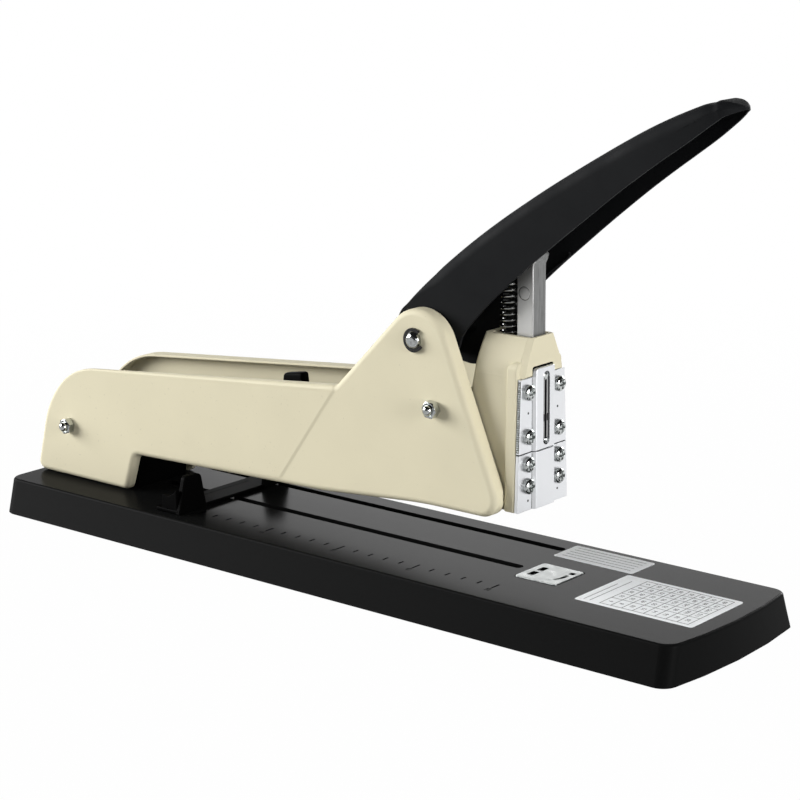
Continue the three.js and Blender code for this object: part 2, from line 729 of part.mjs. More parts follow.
const channelInner = channelHalfWidth - channelWall;
const channelTools = [
  block(-channelTail - overrun, channelEnd + overrun, -channelInner, channelInner,
    innerFloorZ, floorZ + channelHeight + overrun),
  crossBar(centreLine, boltRadius + holeGap + sleeveWall + holeGap,
    -channelHalfWidth - overrun, channelHalfWidth + overrun),
];
const channelBlank = prism(rounded([
  corner(-channelTail, floorZ, channelDrop / 2),
  corner(channelEnd, floorZ, 0),
  corner(channelEnd, floorZ + channelHeight, 0),
  corner(-channelTail, floorZ + channelHeight, channelHeight / 4),
], 4), 'y', -channelHalfWidth, channelHalfWidth);
piece(arm, 'magazine_channel', cut(channelBlank, ...channelTools), zinc);
piece(arm, 'pivot_sleeve', crossTube(centreLine, boltRadius + holeGap + sleeveWall, boltRadius + holeGap,
  -bracketHalfWidth + bracketWall + runGap, bracketHalfWidth - bracketWall - runGap), steel);

const archSection = (outer, wall, foot, top) => [
  new THREE.Vector2(-outer, foot),
  new THREE.Vector2(-outer, top),
  new THREE.Vector2(outer, top),
  new THREE.Vector2(outer, foot),
  new THREE.Vector2(outer - wall, foot),
  new THREE.Vector2(outer - wall, top - wall),
  new THREE.Vector2(-outer + wall, top - wall),
  new THREE.Vector2(-outer + wall, foot),
];
const railSection = archSection(railHalfWidth, railWall, innerFloorZ + seatGap, railTop);
piece(arm, 'staple_rail', prism(railSection, 'x', railTail, railEnd), steel);
const stapleTop = railTop + seatGap + stapleWire;
const stapleSection = archSection(stapleHalfWidth, stapleWire, innerFloorZ + seatGap, stapleTop);
piece(arm, 'staple_strip', prism(stapleSection, 'x', railEnd - stapleStrip, railEnd), zinc);

// Pusher straddles the rail behind the staples, with a plastic knob above the channel
const pusherFront = railEnd - stapleStrip - seatGap;
const pusherHalf = channelInner - runGap;
const pusherTop = railTop + runGap + pusherRoof;
const pusherBlank = block(pusherFront - pusherLength, pusherFront, -pusherHalf, pusherHalf,
  innerFloorZ + runGap, pusherTop);
const pusherSlot = block(pusherFront - pusherLength - overrun, pusherFront + overrun,
  -railHalfWidth - runGap, railHalfWidth + runGap, innerFloorZ - overrun, railTop + runGap);
piece(arm, 'pusher_block', cut(pusherBlank, pusherSlot), steel);
const knobFoot = pusherTop + seatGap;
const knobRear = pusherFront - pusherLength / 2 - knobLength / 2;
const knobFin = prism(rounded([
  corner(knobRear, knobFoot, 0),
  corner(knobRear + knobLength, knobFoot, 0),
  corner(knobRear + knobLength, knobFoot + knobHeight, knobThickness / 4),
  corner(knobRear, knobFoot + knobHeight - knobSlope, knobThickness / 4),
], 3), 'y', -knobThickness / 2, knobThickness / 2);
const knobBase = block(knobRear - knobFlange, knobRear + knobLength + knobFlange,
  -pusherHalf, pusherHalf, knobFoot, knobFoot + knobFlange);
piece(arm, 'pusher_knob', join(knobFin, knobBase), blackPlastic);

// Head housing, from rings of its plan at several heights
const bodyLevels = bodyLevelShares.map((share) => share * headHeight);
const bodyLengths = bodyLengthShares.map((share) => share * headHeight);
function bodyRing(z, length, half, faceHalf, front) {
  const shoulder = -bodyChamfer;
  return onPlane([
    new THREE.Vector2(-length, -half),
    new THREE.Vector2(shoulder, -half),
    new THREE.Vector2(front, -faceHalf),
    new THREE.Vector2(front, faceHalf),
    new THREE.Vector2(shoulder, half),
    new THREE.Vector2(-length, half),
  ], 'z', z);
}
const bodyStations = bodyLevels.map((z, i) => [z, bodyLengths[i], bodyHalfWidths[i], faceHalfWidths[i]]);
const body = loft([
  bodyRing(...bodyStations[0], 0),
  bodyRing(...bodyStations[1], 0),
  bodyRing(bodyLevels[1] + seatGap, bodyLengths[1], bodyHalfWidths[1], faceHalfWidths[1], browProud),
  bodyRing(...bodyStations[2], browProud),
  bodyRing(...bodyStations[3], browProud),
]);
const flangeHalfAt = (z) => THREE.MathUtils.lerp(flangeHalfFoot, flangeHalfTop, z / flangeHeight);
const shoulderStations = [0, 1, 2, 3].map((k) => {
  const turn = (Math.PI / 6) * k;
  return [flangeHeight - flangeShoulder * (1 - Math.sin(turn)), flangeShoulder * (1 - Math.cos(turn))];
});
const flange = loft([[0, 0], ...shoulderStations].map(([z, setback]) =>
  onPlane(boxOutline(setback - flangeDepth, 0, setback - flangeHalfAt(z), flangeHalfAt(z) - setback, 0, 1), 'z', z)));

const springX = -springSetback;
const ramFront = -ramSetback;
const ramRear = ramFront - ramSide;
const cavityRear = springX - springMeanRadius - springWire / 2 - ramGap;
const tunnelTop = ramFoot - ramGap;
const plateScrewPlaces = plateScrewShares.flatMap((share) =>
  [-1, 1].map((side) => [side * plateScrewY, share * plateHeight]));
const housingTools = [
  block(cavityRear, browProud - cavityWall, -cavityHalfWidth, cavityHalfWidth, springSeat, headHeight + overrun),
  block(ramRear - ramGap, ramFront + ramGap, -ramSide / 2 - ramGap, ramSide / 2 + ramGap,
    tunnelTop - overrun, springSeat + overrun),
  block(-bodyLengths[0] - overrun, -tongueSetback - channelSetback / 2, -channelHalfWidth - runGap,
    channelHalfWidth + runGap, -overrun, tunnelTop),
  block(-channelSetback - overrun, overrun, -stapleHalfWidth - ramGap, stapleHalfWidth + ramGap,
    -overrun, bodyLevels[1]),
  ...plateScrewPlaces.map(([y, z]) => prism(
    circle(y, z, plateScrewRadius + holeGap, smallSides), 'x', plateThickness - plateScrewLength, overrun)),
];
piece(head, 'head_housing', cut(join(body, flange), ...housingTools), creamPaint);

// Face plates: two flat wings and a raised ridge that the blade runs behind
const plateBack = seatGap;
const plateFront = plateBack + plateThickness;
const ridgeFront = plateFront + ridgeProud;
const ridgeBack = ridgeFront - ridgeSheet;
const grooveHalf = stapleHalfWidth + ramGap;
function plateRing(z, half) {
  return onPlane([
    [plateBack, -half], [plateFront, -half], [plateFront, -ridgeHalfWidth], [ridgeFront, -ridgeHalfWidth],
    [ridgeFront, ridgeHalfWidth], [plateFront, ridgeHalfWidth], [plateFront, half], [plateBack, half],
    [plateBack, grooveHalf], [ridgeBack, grooveHalf], [ridgeBack, -grooveHalf], [plateBack, -grooveHalf],
  ].map(([x, y]) => new THREE.Vector2(x, y)), 'z', z);
}
const plateHoles = (places) => places.map(([y, z]) =>
  prism(circle(y, z, plateScrewRadius + holeGap, smallSides), 'x', plateBack - overrun, plateFront + overrun));
const lowerPlaces = plateScrewPlaces.filter(([, z]) => z < plateSplit);
const upperPlaces = plateScrewPlaces.filter(([, z]) => z > plateSplit);
const lowerPlate = loft([plateRing(seatGap, plateHalfFoot), plateRing(plateSplit - seatGap, plateHalfSplit)]);
piece(head, 'lower_plate', cut(lowerPlate, ...plateHoles(lowerPlaces)), zinc);

const upperPlate = join(
  loft([plateRing(plateSplit, plateHalfSplit), plateRing(plateHeight - seatGap, plateHalfTop)]),
  block(plateFront, ridgeFront, -ridgeHalfWidth, ridgeHalfWidth, plateHeight - ridgeSheet, plateHeight + ridgeTop));
const [windowFoot, windowTop] = windowEndShares.map((share) => THREE.MathUtils.lerp(plateSplit, plateHeight, share));
const windowTool = prism(
  boxOutline(-windowHalfWidth, windowHalfWidth, windowFoot, windowTop, windowHalfWidth, 4),
  'x', ridgeBack - overrun, ridgeFront + overrun);
piece(head, 'upper_plate', cut(upperPlate, windowTool, ...plateHoles(upperPlaces)), zinc);

plateScrewPlaces.forEach(([y, z], i) => {
  const geometry = screw(plateScrewRadius, plateScrewLength, plateScrewHeadRadius, plateScrewHeadHeight);
  geometry.rotateY(Math.PI / 2);
  piece(head, `plate_screw_${i + 1}`, geometry, zinc, plateFront + seatGap, y, z);
});

// Ram with a flush pin across it, and the driver blade on its front face
const ramTop = handlePin.y + blockFoot - seatGap - headFoot;
const ramCentre = new THREE.Vector2(ramFront - ramSide / 2, ramTop - ramPinDrop);
const ramBar = prism(boxOutline(ramRear, ramFront, -ramSide / 2, ramSide / 2, ramEdge, 1), 'z', ramFoot, ramTop);
const ramHalf = ramSide / 2;
piece(head, 'ram', cut(ramBar, crossBar(ramCentre, ramPinRadius + holeGap / 2,
  -ramHalf - overrun, ramHalf + overrun)), steel);
piece(head, 'ram_pin', crossBar(ramCentre, ramPinRadius, -ramHalf - ramPinProud, ramHalf + ramPinProud), steel);
const bladeBack = ramFront + seatGap;
piece(head, 'driver_blade', block(bladeBack, bladeBack + bladeThickness, -bladeHalfWidth, bladeHalfWidth,
  bladeFoot, bladeFoot + bladeLength), steel);

// Return spring behind the ram: seat in the housing, cap on the ram, guide rod inside
const capTop = ramTop - springCapDrop;
const capUnder = capTop - springCapThickness;
piece(head, 'spring_cap', block(cavityRear, ramRear - seatGap, -springMeanRadius, springMeanRadius, capUnder, capTop), steel);
const rodRise = capUnder - springRodHeadroom - springSeat - seatGap;
const rodGeometry = turned([
  [0, 0],
  [springRodRadius, 0],
  [springRodRadius, rodRise - springRodRadius / 2],
  [springRodRadius / 2, rodRise],
  [0, rodRise],
], smallSides);
piece(head, 'spring_rod', rodGeometry, steel, springX, 0, springSeat + seatGap);

// One unbroken wire: a straight end, a helix and a straight end
const stepsPerCurl = 8;
const wireSides = 5;
const springFoot = springSeat + seatGap;
const springHead = capUnder - seatGap;
const coilRise = springHead - springFoot - 2 * springWire;
const curls = Math.round(coilRise / springPitch);
const wirePath = [new THREE.Vector3(springMeanRadius, 0, springFoot)];
for (let i = 0; i <= curls * stepsPerCurl; i += 1) {
  const turn = (2 * Math.PI * i) / stepsPerCurl;
  const rise = (coilRise * i) / (curls * stepsPerCurl);
  wirePath.push(new THREE.Vector3(
    springMeanRadius * Math.cos(turn), springMeanRadius * Math.sin(turn), springFoot + springWire + rise));
}
wirePath.push(new THREE.Vector3(springMeanRadius, 0, springHead));
function wireTube(path, radius) {
  const rings = path.map((p, i) => {
    const before = path[Math.max(i - 1, 0)];
    const after = path[Math.min(i + 1, path.length - 1)];
    const ends = i === 0 || i === path.length - 1;
    const along = ends ? new THREE.Vector3(0, 0, 1) : after.clone().sub(before).normalize();
    const out = new THREE.Vector3(p.x, p.y, 0).normalize();
    out.addScaledVector(along, -out.dot(along)).normalize();
    const across = new THREE.Vector3().crossVectors(along, out);
    return Array.from({ length: wireSides }, (_, k) => {
      const turn = (2 * Math.PI * k) / wireSides;
      return p.clone().addScaledVector(out, radius * Math.cos(turn)).addScaledVector(across, radius * Math.sin(turn));
    });
  });
  return loft(rings);
}
piece(head, 'ram_spring', wireTube(wirePath, springWire / 2), darkSteel, springX, 0, 0);
let leastGap = Infinity;
wirePath.forEach((p, i) => wirePath.slice(i + stepsPerCurl - 1).forEach((q) => {
  leastGap = Math.min(leastGap, p.distanceTo(q) - springWire);
}));
console.log(`least gap of the spring to itself: ${leastGap.toFixed(2)} mm`);

// Handle: a pressed channel, open below, from sections between its crown and its lower edge
const arcSteps = 3;
function channelHalf(half, height, shoulder) {
  const arc = Array.from({ length: arcSteps + 1 }, (_, k) => {
    const turn = (Math.PI / 2) * (k / arcSteps);
    return [half - shoulder * (1 - Math.cos(turn)), height - shoulder * (1 - Math.sin(turn))];
  });
  return [[half, 0], ...arc];
}
function handleRing(i) {
  const low = lowerEdge[i];
  const up = crown[i].clone().sub(low);
  const height = up.length();
  up.normalize();
  const shoulder = Math.min(handleShoulder, height * 0.8, halfWidths[i] * 0.7);
  const outer = channelHalf(halfWidths[i], height, shoulder);
  const innerShoulder = Math.max(shoulder - handleWall, shoulder / 3);
  const inner = channelHalf(halfWidths[i] - handleWall, height - handleWall, innerShoulder);
  const mirrored = (half) => [...half.map(([y, v]) => [-y, v]), ...half.slice().reverse()];
  return [...mirrored(outer), ...mirrored(inner).reverse()].map(([y, v]) =>
    new THREE.Vector3(low.x + up.x * v, y, low.y + up.y * v));
}
const handleSkin = loft(crown.map((_, i) => handleRing(i)));
piece(handle, 'handle_shell', cut(handleSkin, crossBar(centreLine, handlePinRadius + holeGap,
  -lugHalfWidth - overrun, lugHalfWidth + overrun)), blackPaint);

// Steel block under the handle's web that bears on the ram
piece(handle, 'press_block', prism(rounded([
  corner(blockRear, blockFoot, 0),
  corner(blockFront, blockFoot, pressBlockLength / 4),
  corner(blockFront, crownAt(blockFront), 0),
  corner(blockRear, crownAt(blockRear), 0),
], 3), 'y', -pressBlockHalfWidth, pressBlockHalfWidth), steel);

// Paper guide: a flat bar across the bed with an ear and a gusset at each end
const guideBar = block(-guideLength, 0, -guideHalfWidth, guideHalfWidth, 0, guideThickness);
const ear = (side) => {
  const outline = [
    [guideHalfWidth, 0], [guideHalfWidth - earTopInset, earHeight],
    [guideHalfWidth - earWidth + earTopInset, earHeight], [guideHalfWidth - earWidth, 0],
  ].map(([y, z]) => corner(side * y, z, z > 0 ? guideThickness : 0));
  return prism(rounded(outline, 3), 'x', earLead - earThickness, earLead);
};
const gusset = (side) => {
  const rear = earLead - earThickness - gussetLength;
  const outline = [
    [rear, 0], [rear, gussetHeight], [rear + gussetLength / 3, gussetHeight * 0.86],
    [rear + gussetLength * 0.7, gussetHeight * 1.05], [rear + gussetLength, gussetHeight * 1.6],
    [rear + gussetLength + earThickness / 2, gussetHeight * 1.6], [rear + gussetLength + earThickness / 2, 0],
  ].map(([x, z]) => new THREE.Vector2(x, z));
  const outerY = guideHalfWidth - earTopInset / 2;
  return prism(outline, 'y', side * (outerY - gussetThickness), side * outerY);
};
piece(guide, 'guide_body', join(guideBar, ear(-1), ear(1), gusset(-1), gusset(1)), blackPlastic);

// Runners in the two slots of the bed, each a tongue over a shoe
const shoeTop = -seatGap * 2 - trayDeck;
const runner = () => join(
  block(-runnerLength / 2, runnerLength / 2, -slotWidth / 2 + holeGap, slotWidth / 2 - holeGap, shoeTop - overrun, -seatGap),
  block(-runnerLength / 2, runnerLength / 2, -runnerWidth / 2, runnerWidth / 2, shoeTop - runnerThickness, shoeTop));
[['centre', 0], ['far', farSlotY]].forEach(([name, y]) => {
  piece(guide, `guide_runner_${name}`, runner(), steel, -guideLength / 2, y, 0);
});

export default stapler;
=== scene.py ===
"""Heavy duty stapler with a long throat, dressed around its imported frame.

The file is laid out as an add-on and is run as a script. Shapes are worked out in millimetres and made
into meshes in metres, both in the frame's own axes: +X towards the head, +Y to the far side, +Z up.
"""

import json
import math

import bmesh
import bpy
import numpy as np
from mathutils import Matrix, Vector
from mathutils.geometry import tessellate_polygon


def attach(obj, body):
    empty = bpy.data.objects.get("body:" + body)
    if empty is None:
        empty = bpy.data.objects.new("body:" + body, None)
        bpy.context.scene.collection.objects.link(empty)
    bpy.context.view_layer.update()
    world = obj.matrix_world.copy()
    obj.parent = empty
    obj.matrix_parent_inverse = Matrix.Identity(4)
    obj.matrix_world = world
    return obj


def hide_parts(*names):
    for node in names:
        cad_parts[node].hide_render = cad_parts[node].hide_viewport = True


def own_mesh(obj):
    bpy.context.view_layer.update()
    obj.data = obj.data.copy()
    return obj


bl_info = {
    "name": "Heavy duty stapler",
    "version": (1, 0, 0),
    "blender": (4, 5, 0),
    "location": "View3D > Sidebar > Stapler",
    "description": "Dresses a packed heavy duty stapler with its surfaces and its studio",
    "category": "Add Mesh",
}

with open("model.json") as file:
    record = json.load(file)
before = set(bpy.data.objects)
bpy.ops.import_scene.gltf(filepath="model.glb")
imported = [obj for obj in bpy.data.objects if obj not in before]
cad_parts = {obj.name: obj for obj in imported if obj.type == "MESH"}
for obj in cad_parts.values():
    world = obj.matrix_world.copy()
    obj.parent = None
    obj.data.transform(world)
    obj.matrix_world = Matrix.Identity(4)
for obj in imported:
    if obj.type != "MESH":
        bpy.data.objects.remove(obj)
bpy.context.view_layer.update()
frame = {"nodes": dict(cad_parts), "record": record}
nodes = frame["nodes"]

MM = 0.001

# Sizes shared with the frame, in millimetres
BASE_LENGTH, BASE_WIDTH, DECK = 457.6, 110.5, 20.0
COVER_REAR, COVER_FOOT, COVER_LENGTH, COVER_HEIGHT = -228.4, 20.3, 339.1, 132.0
COVER_FACE, COVER_RIM, SHEET = 28.0, 19.0, 1.6
FACE, FOOT = 112.0, 54.3
ON_HEAD = (FACE, 0, FOOT)
HANDLE_PIN = (56.51, 134.51)
REAR_BOLT = (-198.02, 50.70)
FRONT_BOLT = (68.58, 101.70)
SIDES = ((-1, "near"), (1, "far"))


class StaplerFinishes(bpy.types.PropertyGroup):
    """Colours of the stapler's finishes."""

    cream: bpy.props.FloatVectorProperty(
        name="Cream enamel", description="Side covers and head", subtype="COLOR",
        size=3, min=0, max=1, default=(0.69, 0.64, 0.47))
    black: bpy.props.FloatVectorProperty(
        name="Black moulding", description="Base, pusher knob and paper guide", subtype="COLOR",
        size=3, min=0, max=1, default=(0.007, 0.0072, 0.0072))
    enamel: bpy.props.FloatVectorProperty(
        name="Black enamel", description="Handle", subtype="COLOR",
        size=3, min=0, max=1, default=(0.0085, 0.009, 0.0098))
    zinc: bpy.props.FloatVectorProperty(
        name="Bright zinc", description="Face plates, bolts and anvil", subtype="COLOR",
        size=3, min=0, max=1, default=(0.41, 0.425, 0.42))
    steel: bpy.props.FloatVectorProperty(
        name="Bar steel", description="Ram, blade, rail and spring", subtype="COLOR",
        size=3, min=0, max=1, default=(0.42, 0.425, 0.42))


class StaplerSizes(bpy.types.PropertyGroup):
    """Small sizes that change the look of the edges and fittings."""

    cover_edge: bpy.props.FloatProperty(
        name="Cover edge", description="Radius of the covers' pressed edge", unit="LENGTH", default=0.0034)
    crease: bpy.props.FloatProperty(
        name="Crease", description="Step between the two parts of each cover", unit="LENGTH",
        default=0.0004)
    base_edge: bpy.props.FloatProperty(
        name="Base edge", description="Radius between the deck and the base's sides", unit="LENGTH",
        default=0.0016)
    slot_width: bpy.props.FloatProperty(
        name="Slot width", description="Width of the deck's two guide slots", unit="LENGTH",
        default=0.0054)
    spring_wire: bpy.props.FloatProperty(
        name="Spring wire", description="Radius of the return spring's wire", unit="LENGTH",
        default=0.0008)


class StaplerStage(bpy.types.PropertyGroup):
    """Camera and studio."""

    place: bpy.props.FloatVectorProperty(
        name="Camera place", description="Where the camera stands", subtype="TRANSLATION",
        unit="LENGTH", size=3, default=(0.756803, -0.869650, 0.376199))
    azimuth: bpy.props.FloatProperty(
        name="Azimuth", description="Turn of the camera round the stapler", subtype="ANGLE",
        default=math.radians(40.1368))
    elevation: bpy.props.FloatProperty(
        name="Elevation", description="Height of the camera above the horizon", subtype="ANGLE",
        default=math.radians(13.9454))
    roll: bpy.props.FloatProperty(
        name="Roll", description="Tilt of the camera about its own line of sight", subtype="ANGLE",
        default=math.radians(-0.5396))
    lens: bpy.props.FloatProperty(
        name="Lens", description="Focal length of the camera", subtype="DISTANCE_CAMERA", default=103.163)


# Materials

def paint(name):
    """The finish of that name, once the finishes are made."""
    return bpy.data.materials[name]


def principled(material):
    """A material's one Principled shader."""
    return material.node_tree.nodes["Principled BSDF"]


def shader(name, colour, roughness, metallic=0.0, specular=0.5):
    """A new material with one Principled shader on it."""
    material = bpy.data.materials.new(name)
    material.use_nodes = True
    inputs = principled(material).inputs
    inputs["Base Color"].default_value = (*colour, 1)
    inputs["Roughness"].default_value = roughness
    inputs["Metallic"].default_value = metallic
    inputs["Specular IOR Level"].default_value = specular
    return material


def wired(tree, kind, inputs=(), **settings):
    """A new node with its settings. Each input is another node's socket or a plain value."""
    node = tree.nodes.new(kind)
    for key, value in settings.items():
        setattr(node, key, value)
    for key, value in dict(inputs).items():
        if isinstance(value, bpy.types.NodeSocket):
            tree.links.new(value, node.inputs[key])
        else:
            node.inputs[key].default_value = value
    return node


def own_place(tree):
    """The piece's own coordinates."""
    return wired(tree, "ShaderNodeTexCoord").outputs["Object"]


def cloud(tree, size, stretch=(1, 1, 1), detail=3.0):
    """A soft noise on the piece's own coordinates: its patches are about one size across, drawn out along
    the axes by a stretch."""
    drawn = wired(tree, "ShaderNodeMapping", {"Vector": own_place(tree), "Scale": [1 / s for s in stretch]})
    inputs = {"Vector": drawn.outputs["Vector"], "Scale": 1 / size, "Detail": detail}
    return wired(tree, "ShaderNodeTexNoise", inputs).outputs["Fac"]


def spread(tree, share, low, high, dark=0.0, bright=1.0, easing="LINEAR"):
    """A share's rise from low to high, spread over two values."""
    inputs = {"Value": share, "From Min": low, "From Max": high, "To Min": dark, "To Max": bright}
    return wired(tree, "ShaderNodeMapRange", inputs, interpolation_type=easing).outputs["Result"]


def ramp_along(tree, vector, direction, low, high, dark, bright):
    """A smooth rise from dark to bright as a vector's share along a direction goes from low to high."""
    share = wired(tree, "ShaderNodeVectorMath", {0: vector, 1: direction}, operation="DOT_PRODUCT")
    return spread(tree, share.outputs["Value"], low, high, dark, bright, "SMOOTHSTEP")


def relief(material, share, depth):
    """A pattern's rise as a bump of a depth in metres, over the bumps already there."""
    bump = wired(material.node_tree, "ShaderNodeBump", {"Height": share, "Distance": depth, "Strength": 1.0})
    normal = principled(material).inputs["Normal"]
    if normal.is_linked:
        material.node_tree.links.new(normal.links[0].from_socket, bump.inputs["Normal"])
    material.node_tree.links.new(bump.outputs["Normal"], normal)


def uneven(material, share, smooth, rough):
    """Roughness between two values, by a pattern."""
    tree = material.node_tree
    tree.links.new(spread(tree, share, 0.3, 0.7, smooth, rough), principled(material).inputs["Roughness"])


def tinted(material, share, low, high, factor):
    """The colour drawn towards its multiple by a factor, as a pattern rises from low to high."""
    tree = material.node_tree
    socket = principled(material).inputs["Base Color"]
    plain = np.array(socket.default_value[:3])
    before = socket.links[0].from_socket if socket.is_linked else (*plain, 1)
    after = (*np.clip(plain * factor, 0, 1), 1)
    mix = wired(tree, "ShaderNodeMix", {0: spread(tree, share, low, high), 6: before, 7: after},
                data_type="RGBA")
    tree.links.new(mix.outputs[2], socket)


def ribbed(tree, pitch, axis):
    """Even ribs square to an axis, a pitch apart: a sine of twenty times the scale."""
    inputs = {"Vector": own_place(tree), "Scale": math.pi / (10 * pitch), "Distortion": 0.0}
    return wired(tree, "ShaderNodeTexWave", inputs, bands_direction=axis).outputs["Fac"]


def dress(material, *names):
    """Puts a material on carried-over CAD nodes."""
    for name in names:
        data = nodes[name].data
        data.materials.clear()
        data.materials.append(material)


# Outlines and skins

def unit(rows):
    """Vectors drawn to a length of one."""
    return rows / np.linalg.norm(rows, axis=-1, keepdims=True)


def risen(value, low, high):
    """How far a value has come from low to high, held between nothing and one."""
    return np.clip((value - low) / (high - low), 0, 1)


def eased(share):
    """A share with a level start and end: three of its squares less two of its cubes."""
    return share * share * (3 - 2 * share)


def fillet(radius, steps):
    """A quarter round from a side to a top, as pairs: how far below the top, and how far in from the side."""
    turn = np.linspace(0, np.pi / 2, steps + 1)
    return [(radius * (1 - np.sin(t)), radius * (1 - np.cos(t))) for t in turn]


def lap(sides):
    """The turns of a circle's even points."""
    return np.linspace(0, 2 * np.pi, sides, endpoint=False)


def rounded(corners, steps):
    """A polygon with rounded corners. Each row of corners is x, y and a radius. Its arc is the circle of
    that radius which touches both sides, walked in equal turns; a radius of nothing leaves the corner."""
    table = np.asarray(corners, float)
    at = table[:, :2]
    radius = table[:, 2:]
    back = unit(np.roll(at, 1, 0) - at)
    ahead = unit(np.roll(at, -1, 0) - at)
    half = np.arccos(np.clip((back * ahead).sum(1, keepdims=True), -1, 1)) / 2
    middle = back + ahead
    size = np.linalg.norm(middle, axis=1, keepdims=True)
    middle = np.divide(middle, size, out=np.zeros_like(middle), where=size > 1e-9)
    centre = at + middle * radius / np.sin(half)
    start = at + back * radius / np.tan(half) - centre
    end = at + ahead * radius / np.tan(half) - centre
    sweep = np.arctan2(start[:, 0] * end[:, 1] - start[:, 1] * end[:, 0], (start * end).sum(1))
    turn = sweep[:, None] * np.linspace(0, 1, steps + 1)
    x = start[:, :1] * np.cos(turn) - start[:, 1:] * np.sin(turn) + centre[:, :1]
    y = start[:, :1] * np.sin(turn) + start[:, 1:] * np.cos(turn) + centre[:, 1:]
    arcs = np.stack((x, y), 2)
    keep = np.ones(arcs.shape[:2], bool)
    keep[radius[:, 0] <= 0, 1:] = False
    return arcs[keep]


def inset(corners, by):
    """The same anticlockwise corners with every side moved inwards by a width. Outer radii shrink with it
    and hollow ones grow."""
    table = np.asarray(corners, float)
    at = table[:, :2]
    u = unit(at - np.roll(at, 1, 0))
    v = unit(np.roll(at, -1, 0) - at)
    left = unit(np.stack((-u[:, 1] - v[:, 1], u[:, 0] + v[:, 0]), 1))
    reach = by / (left[:, 1] * u[:, 0] - left[:, 0] * u[:, 1])
    outer = u[:, 0] * v[:, 1] - u[:, 1] * v[:, 0] > 0
    radius = np.where(outer, np.maximum(table[:, 2] - by, table[:, 2] / 20), table[:, 2] + by)
    radius = np.where(table[:, 2] > 0, radius, 0)
    return np.column_stack((at + left * reach[:, None], radius))


def box_corners(x0, x1, y0, y1, radius=0.0):
    """The corners of a rectangle, anticlockwise, with one radius."""
    return [(x0, y0, radius), (x1, y0, radius), (x1, y1, radius), (x0, y1, radius)]


def box_loop(x0, x1, y0, y1, radius, steps):
    """A rectangle with rounded corners."""
    return rounded(box_corners(x0, x1, y0, y1, radius), steps)


def slot_loop(x0, x1, y, width):
    """A long slot with half-round ends."""
    return box_loop(x0, x1, y - width / 2, y + width / 2, width / 2 - 0.01, 8)


def placed(points, axis, at):
    """Flat points set in the plane square to an axis, at a height on it."""
    height = np.full(len(points), at, float)
    columns = {"x": (height, points[:, 0], points[:, 1]),
               "y": (points[:, 0], height, points[:, 1]),
               "z": (points[:, 0], points[:, 1], height)}
    return np.stack(columns[axis], 1)


def grid_faces(rows, columns):
    """Four-sided faces between neighbouring rows of a grid whose columns close into rings."""
    index = np.arange(rows * columns).reshape(rows, columns)
    index = np.concatenate((index, index[:, :1]), 1)
    corners = (index[:-1, :-1], index[:-1, 1:], index[1:, 1:], index[1:, :-1])
    return np.stack(corners, 2).reshape(-1, 4).tolist()


def loft(rings, caps=True):
    """Points and faces of a skin through rings of equal count, with a flat cap at each end."""
    rings = np.asarray(rings, float)
    rows, columns = rings.shape[:2]
    faces = grid_faces(rows, columns)
    if caps:
        faces.append(list(range(columns))[::-1])
        faces.append([(rows - 1) * columns + i for i in range(columns)])
    return rings.reshape(-1, 3), faces


def walls(loop, axis, start, end):
    """A flat loop carried straight from one height to another, open at both ends."""
    return loft([placed(loop, axis, start), placed(loop, axis, end)], caps=False)


def lid(loop, axis, at):
    """A flat loop filled by one face."""
    return placed(loop, axis, at), [list(range(len(loop)))]


def gather(*parts):
    """Several sets of points and faces as one."""
    points, faces, count = [], [], 0
    for some, theirs in parts:
        points.append(np.asarray(some, float).reshape(-1, 3))
        faces.extend([[i + count for i in face] for face in theirs])
        count += len(points[-1])
    return np.concatenate(points), faces


def pit(loop, axis, mouth, floor):
    """The walls and the floor of a hollow with straight sides."""
    return gather(walls(loop, axis, mouth, floor), lid(loop, axis, floor))


def moved(shape, by):
    """A shape with its points moved by a vector."""
    points, faces = shape
    return points + np.asarray(by, float), faces


def pierced(loops, axis, at):
    """Triangles that fill the first loop and leave the other loops open."""
    rings = [placed(loop, axis, at) for loop in loops]
    triangles = tessellate_polygon([[Vector(p) for p in ring] for ring in rings])
    return np.concatenate(rings), [list(t) for t in triangles]


def spline(table, count):
    """Smooth rows through every row of a table: a Catmull-Rom curve, each of whose spans is a cubic in the
    four rows about it, sampled evenly in span number."""
    rows = np.asarray(table, float)
    rows = np.concatenate((2 * rows[:1] - rows[1:2], rows, 2 * rows[-1:] - rows[-2:-1]))
    along = np.linspace(0, len(rows) - 3 - 1e-9, count)
    i = along.astype(int)
    t = (along - i)[:, None]
    a, b, c, d = rows[i], rows[i + 1], rows[i + 2], rows[i + 3]
    return b + ((c - a) * t + (2 * a - 5 * b + 4 * c - d) * t**2 + (3 * b - a - 3 * c + d) * t**3) / 2


def slab(corners, axis, low, high, edge=0.4, steps=3, arc=6, holes=()):
    """A plate: its outline carried from one height to another, over a quarter round at each end. Holes are
    closed loops, cut straight through."""
    curve = fillet(edge, steps)
    walk = [(low + down, by) for down, by in curve[::-1]] + [(high - down, by) for down, by in curve]
    rings = [placed(rounded(inset(corners, by), arc), axis, at) for at, by in walk]
    parts = [loft(rings, caps=not holes)]
    if holes:
        flat = {"x": [1, 2], "y": [0, 2], "z": [0, 1]}[axis]
        for ring, at in ((rings[0], low), (rings[-1], high)):
            parts.append(pierced([ring[:, flat], *holes], axis, at))
        parts.extend(walls(hole, axis, low, high) for hole in holes)
    return gather(*parts)


def turned(profile, sides, axis, at):
    """A profile of radius and height pairs turned about x or y through a point, with its first and last
    rows drawn to the axis where their radius is nothing."""
    table = np.asarray(profile, float)
    turn = lap(sides)
    a = table[:, :1] * np.cos(turn)
    b = table[:, :1] * np.sin(turn)
    c = np.broadcast_to(table[:, 1:], a.shape)
    columns = {"x": (c, a, b), "y": (b, c, a)}[axis]
    return loft(np.stack(columns, 2) + np.asarray(at, float))


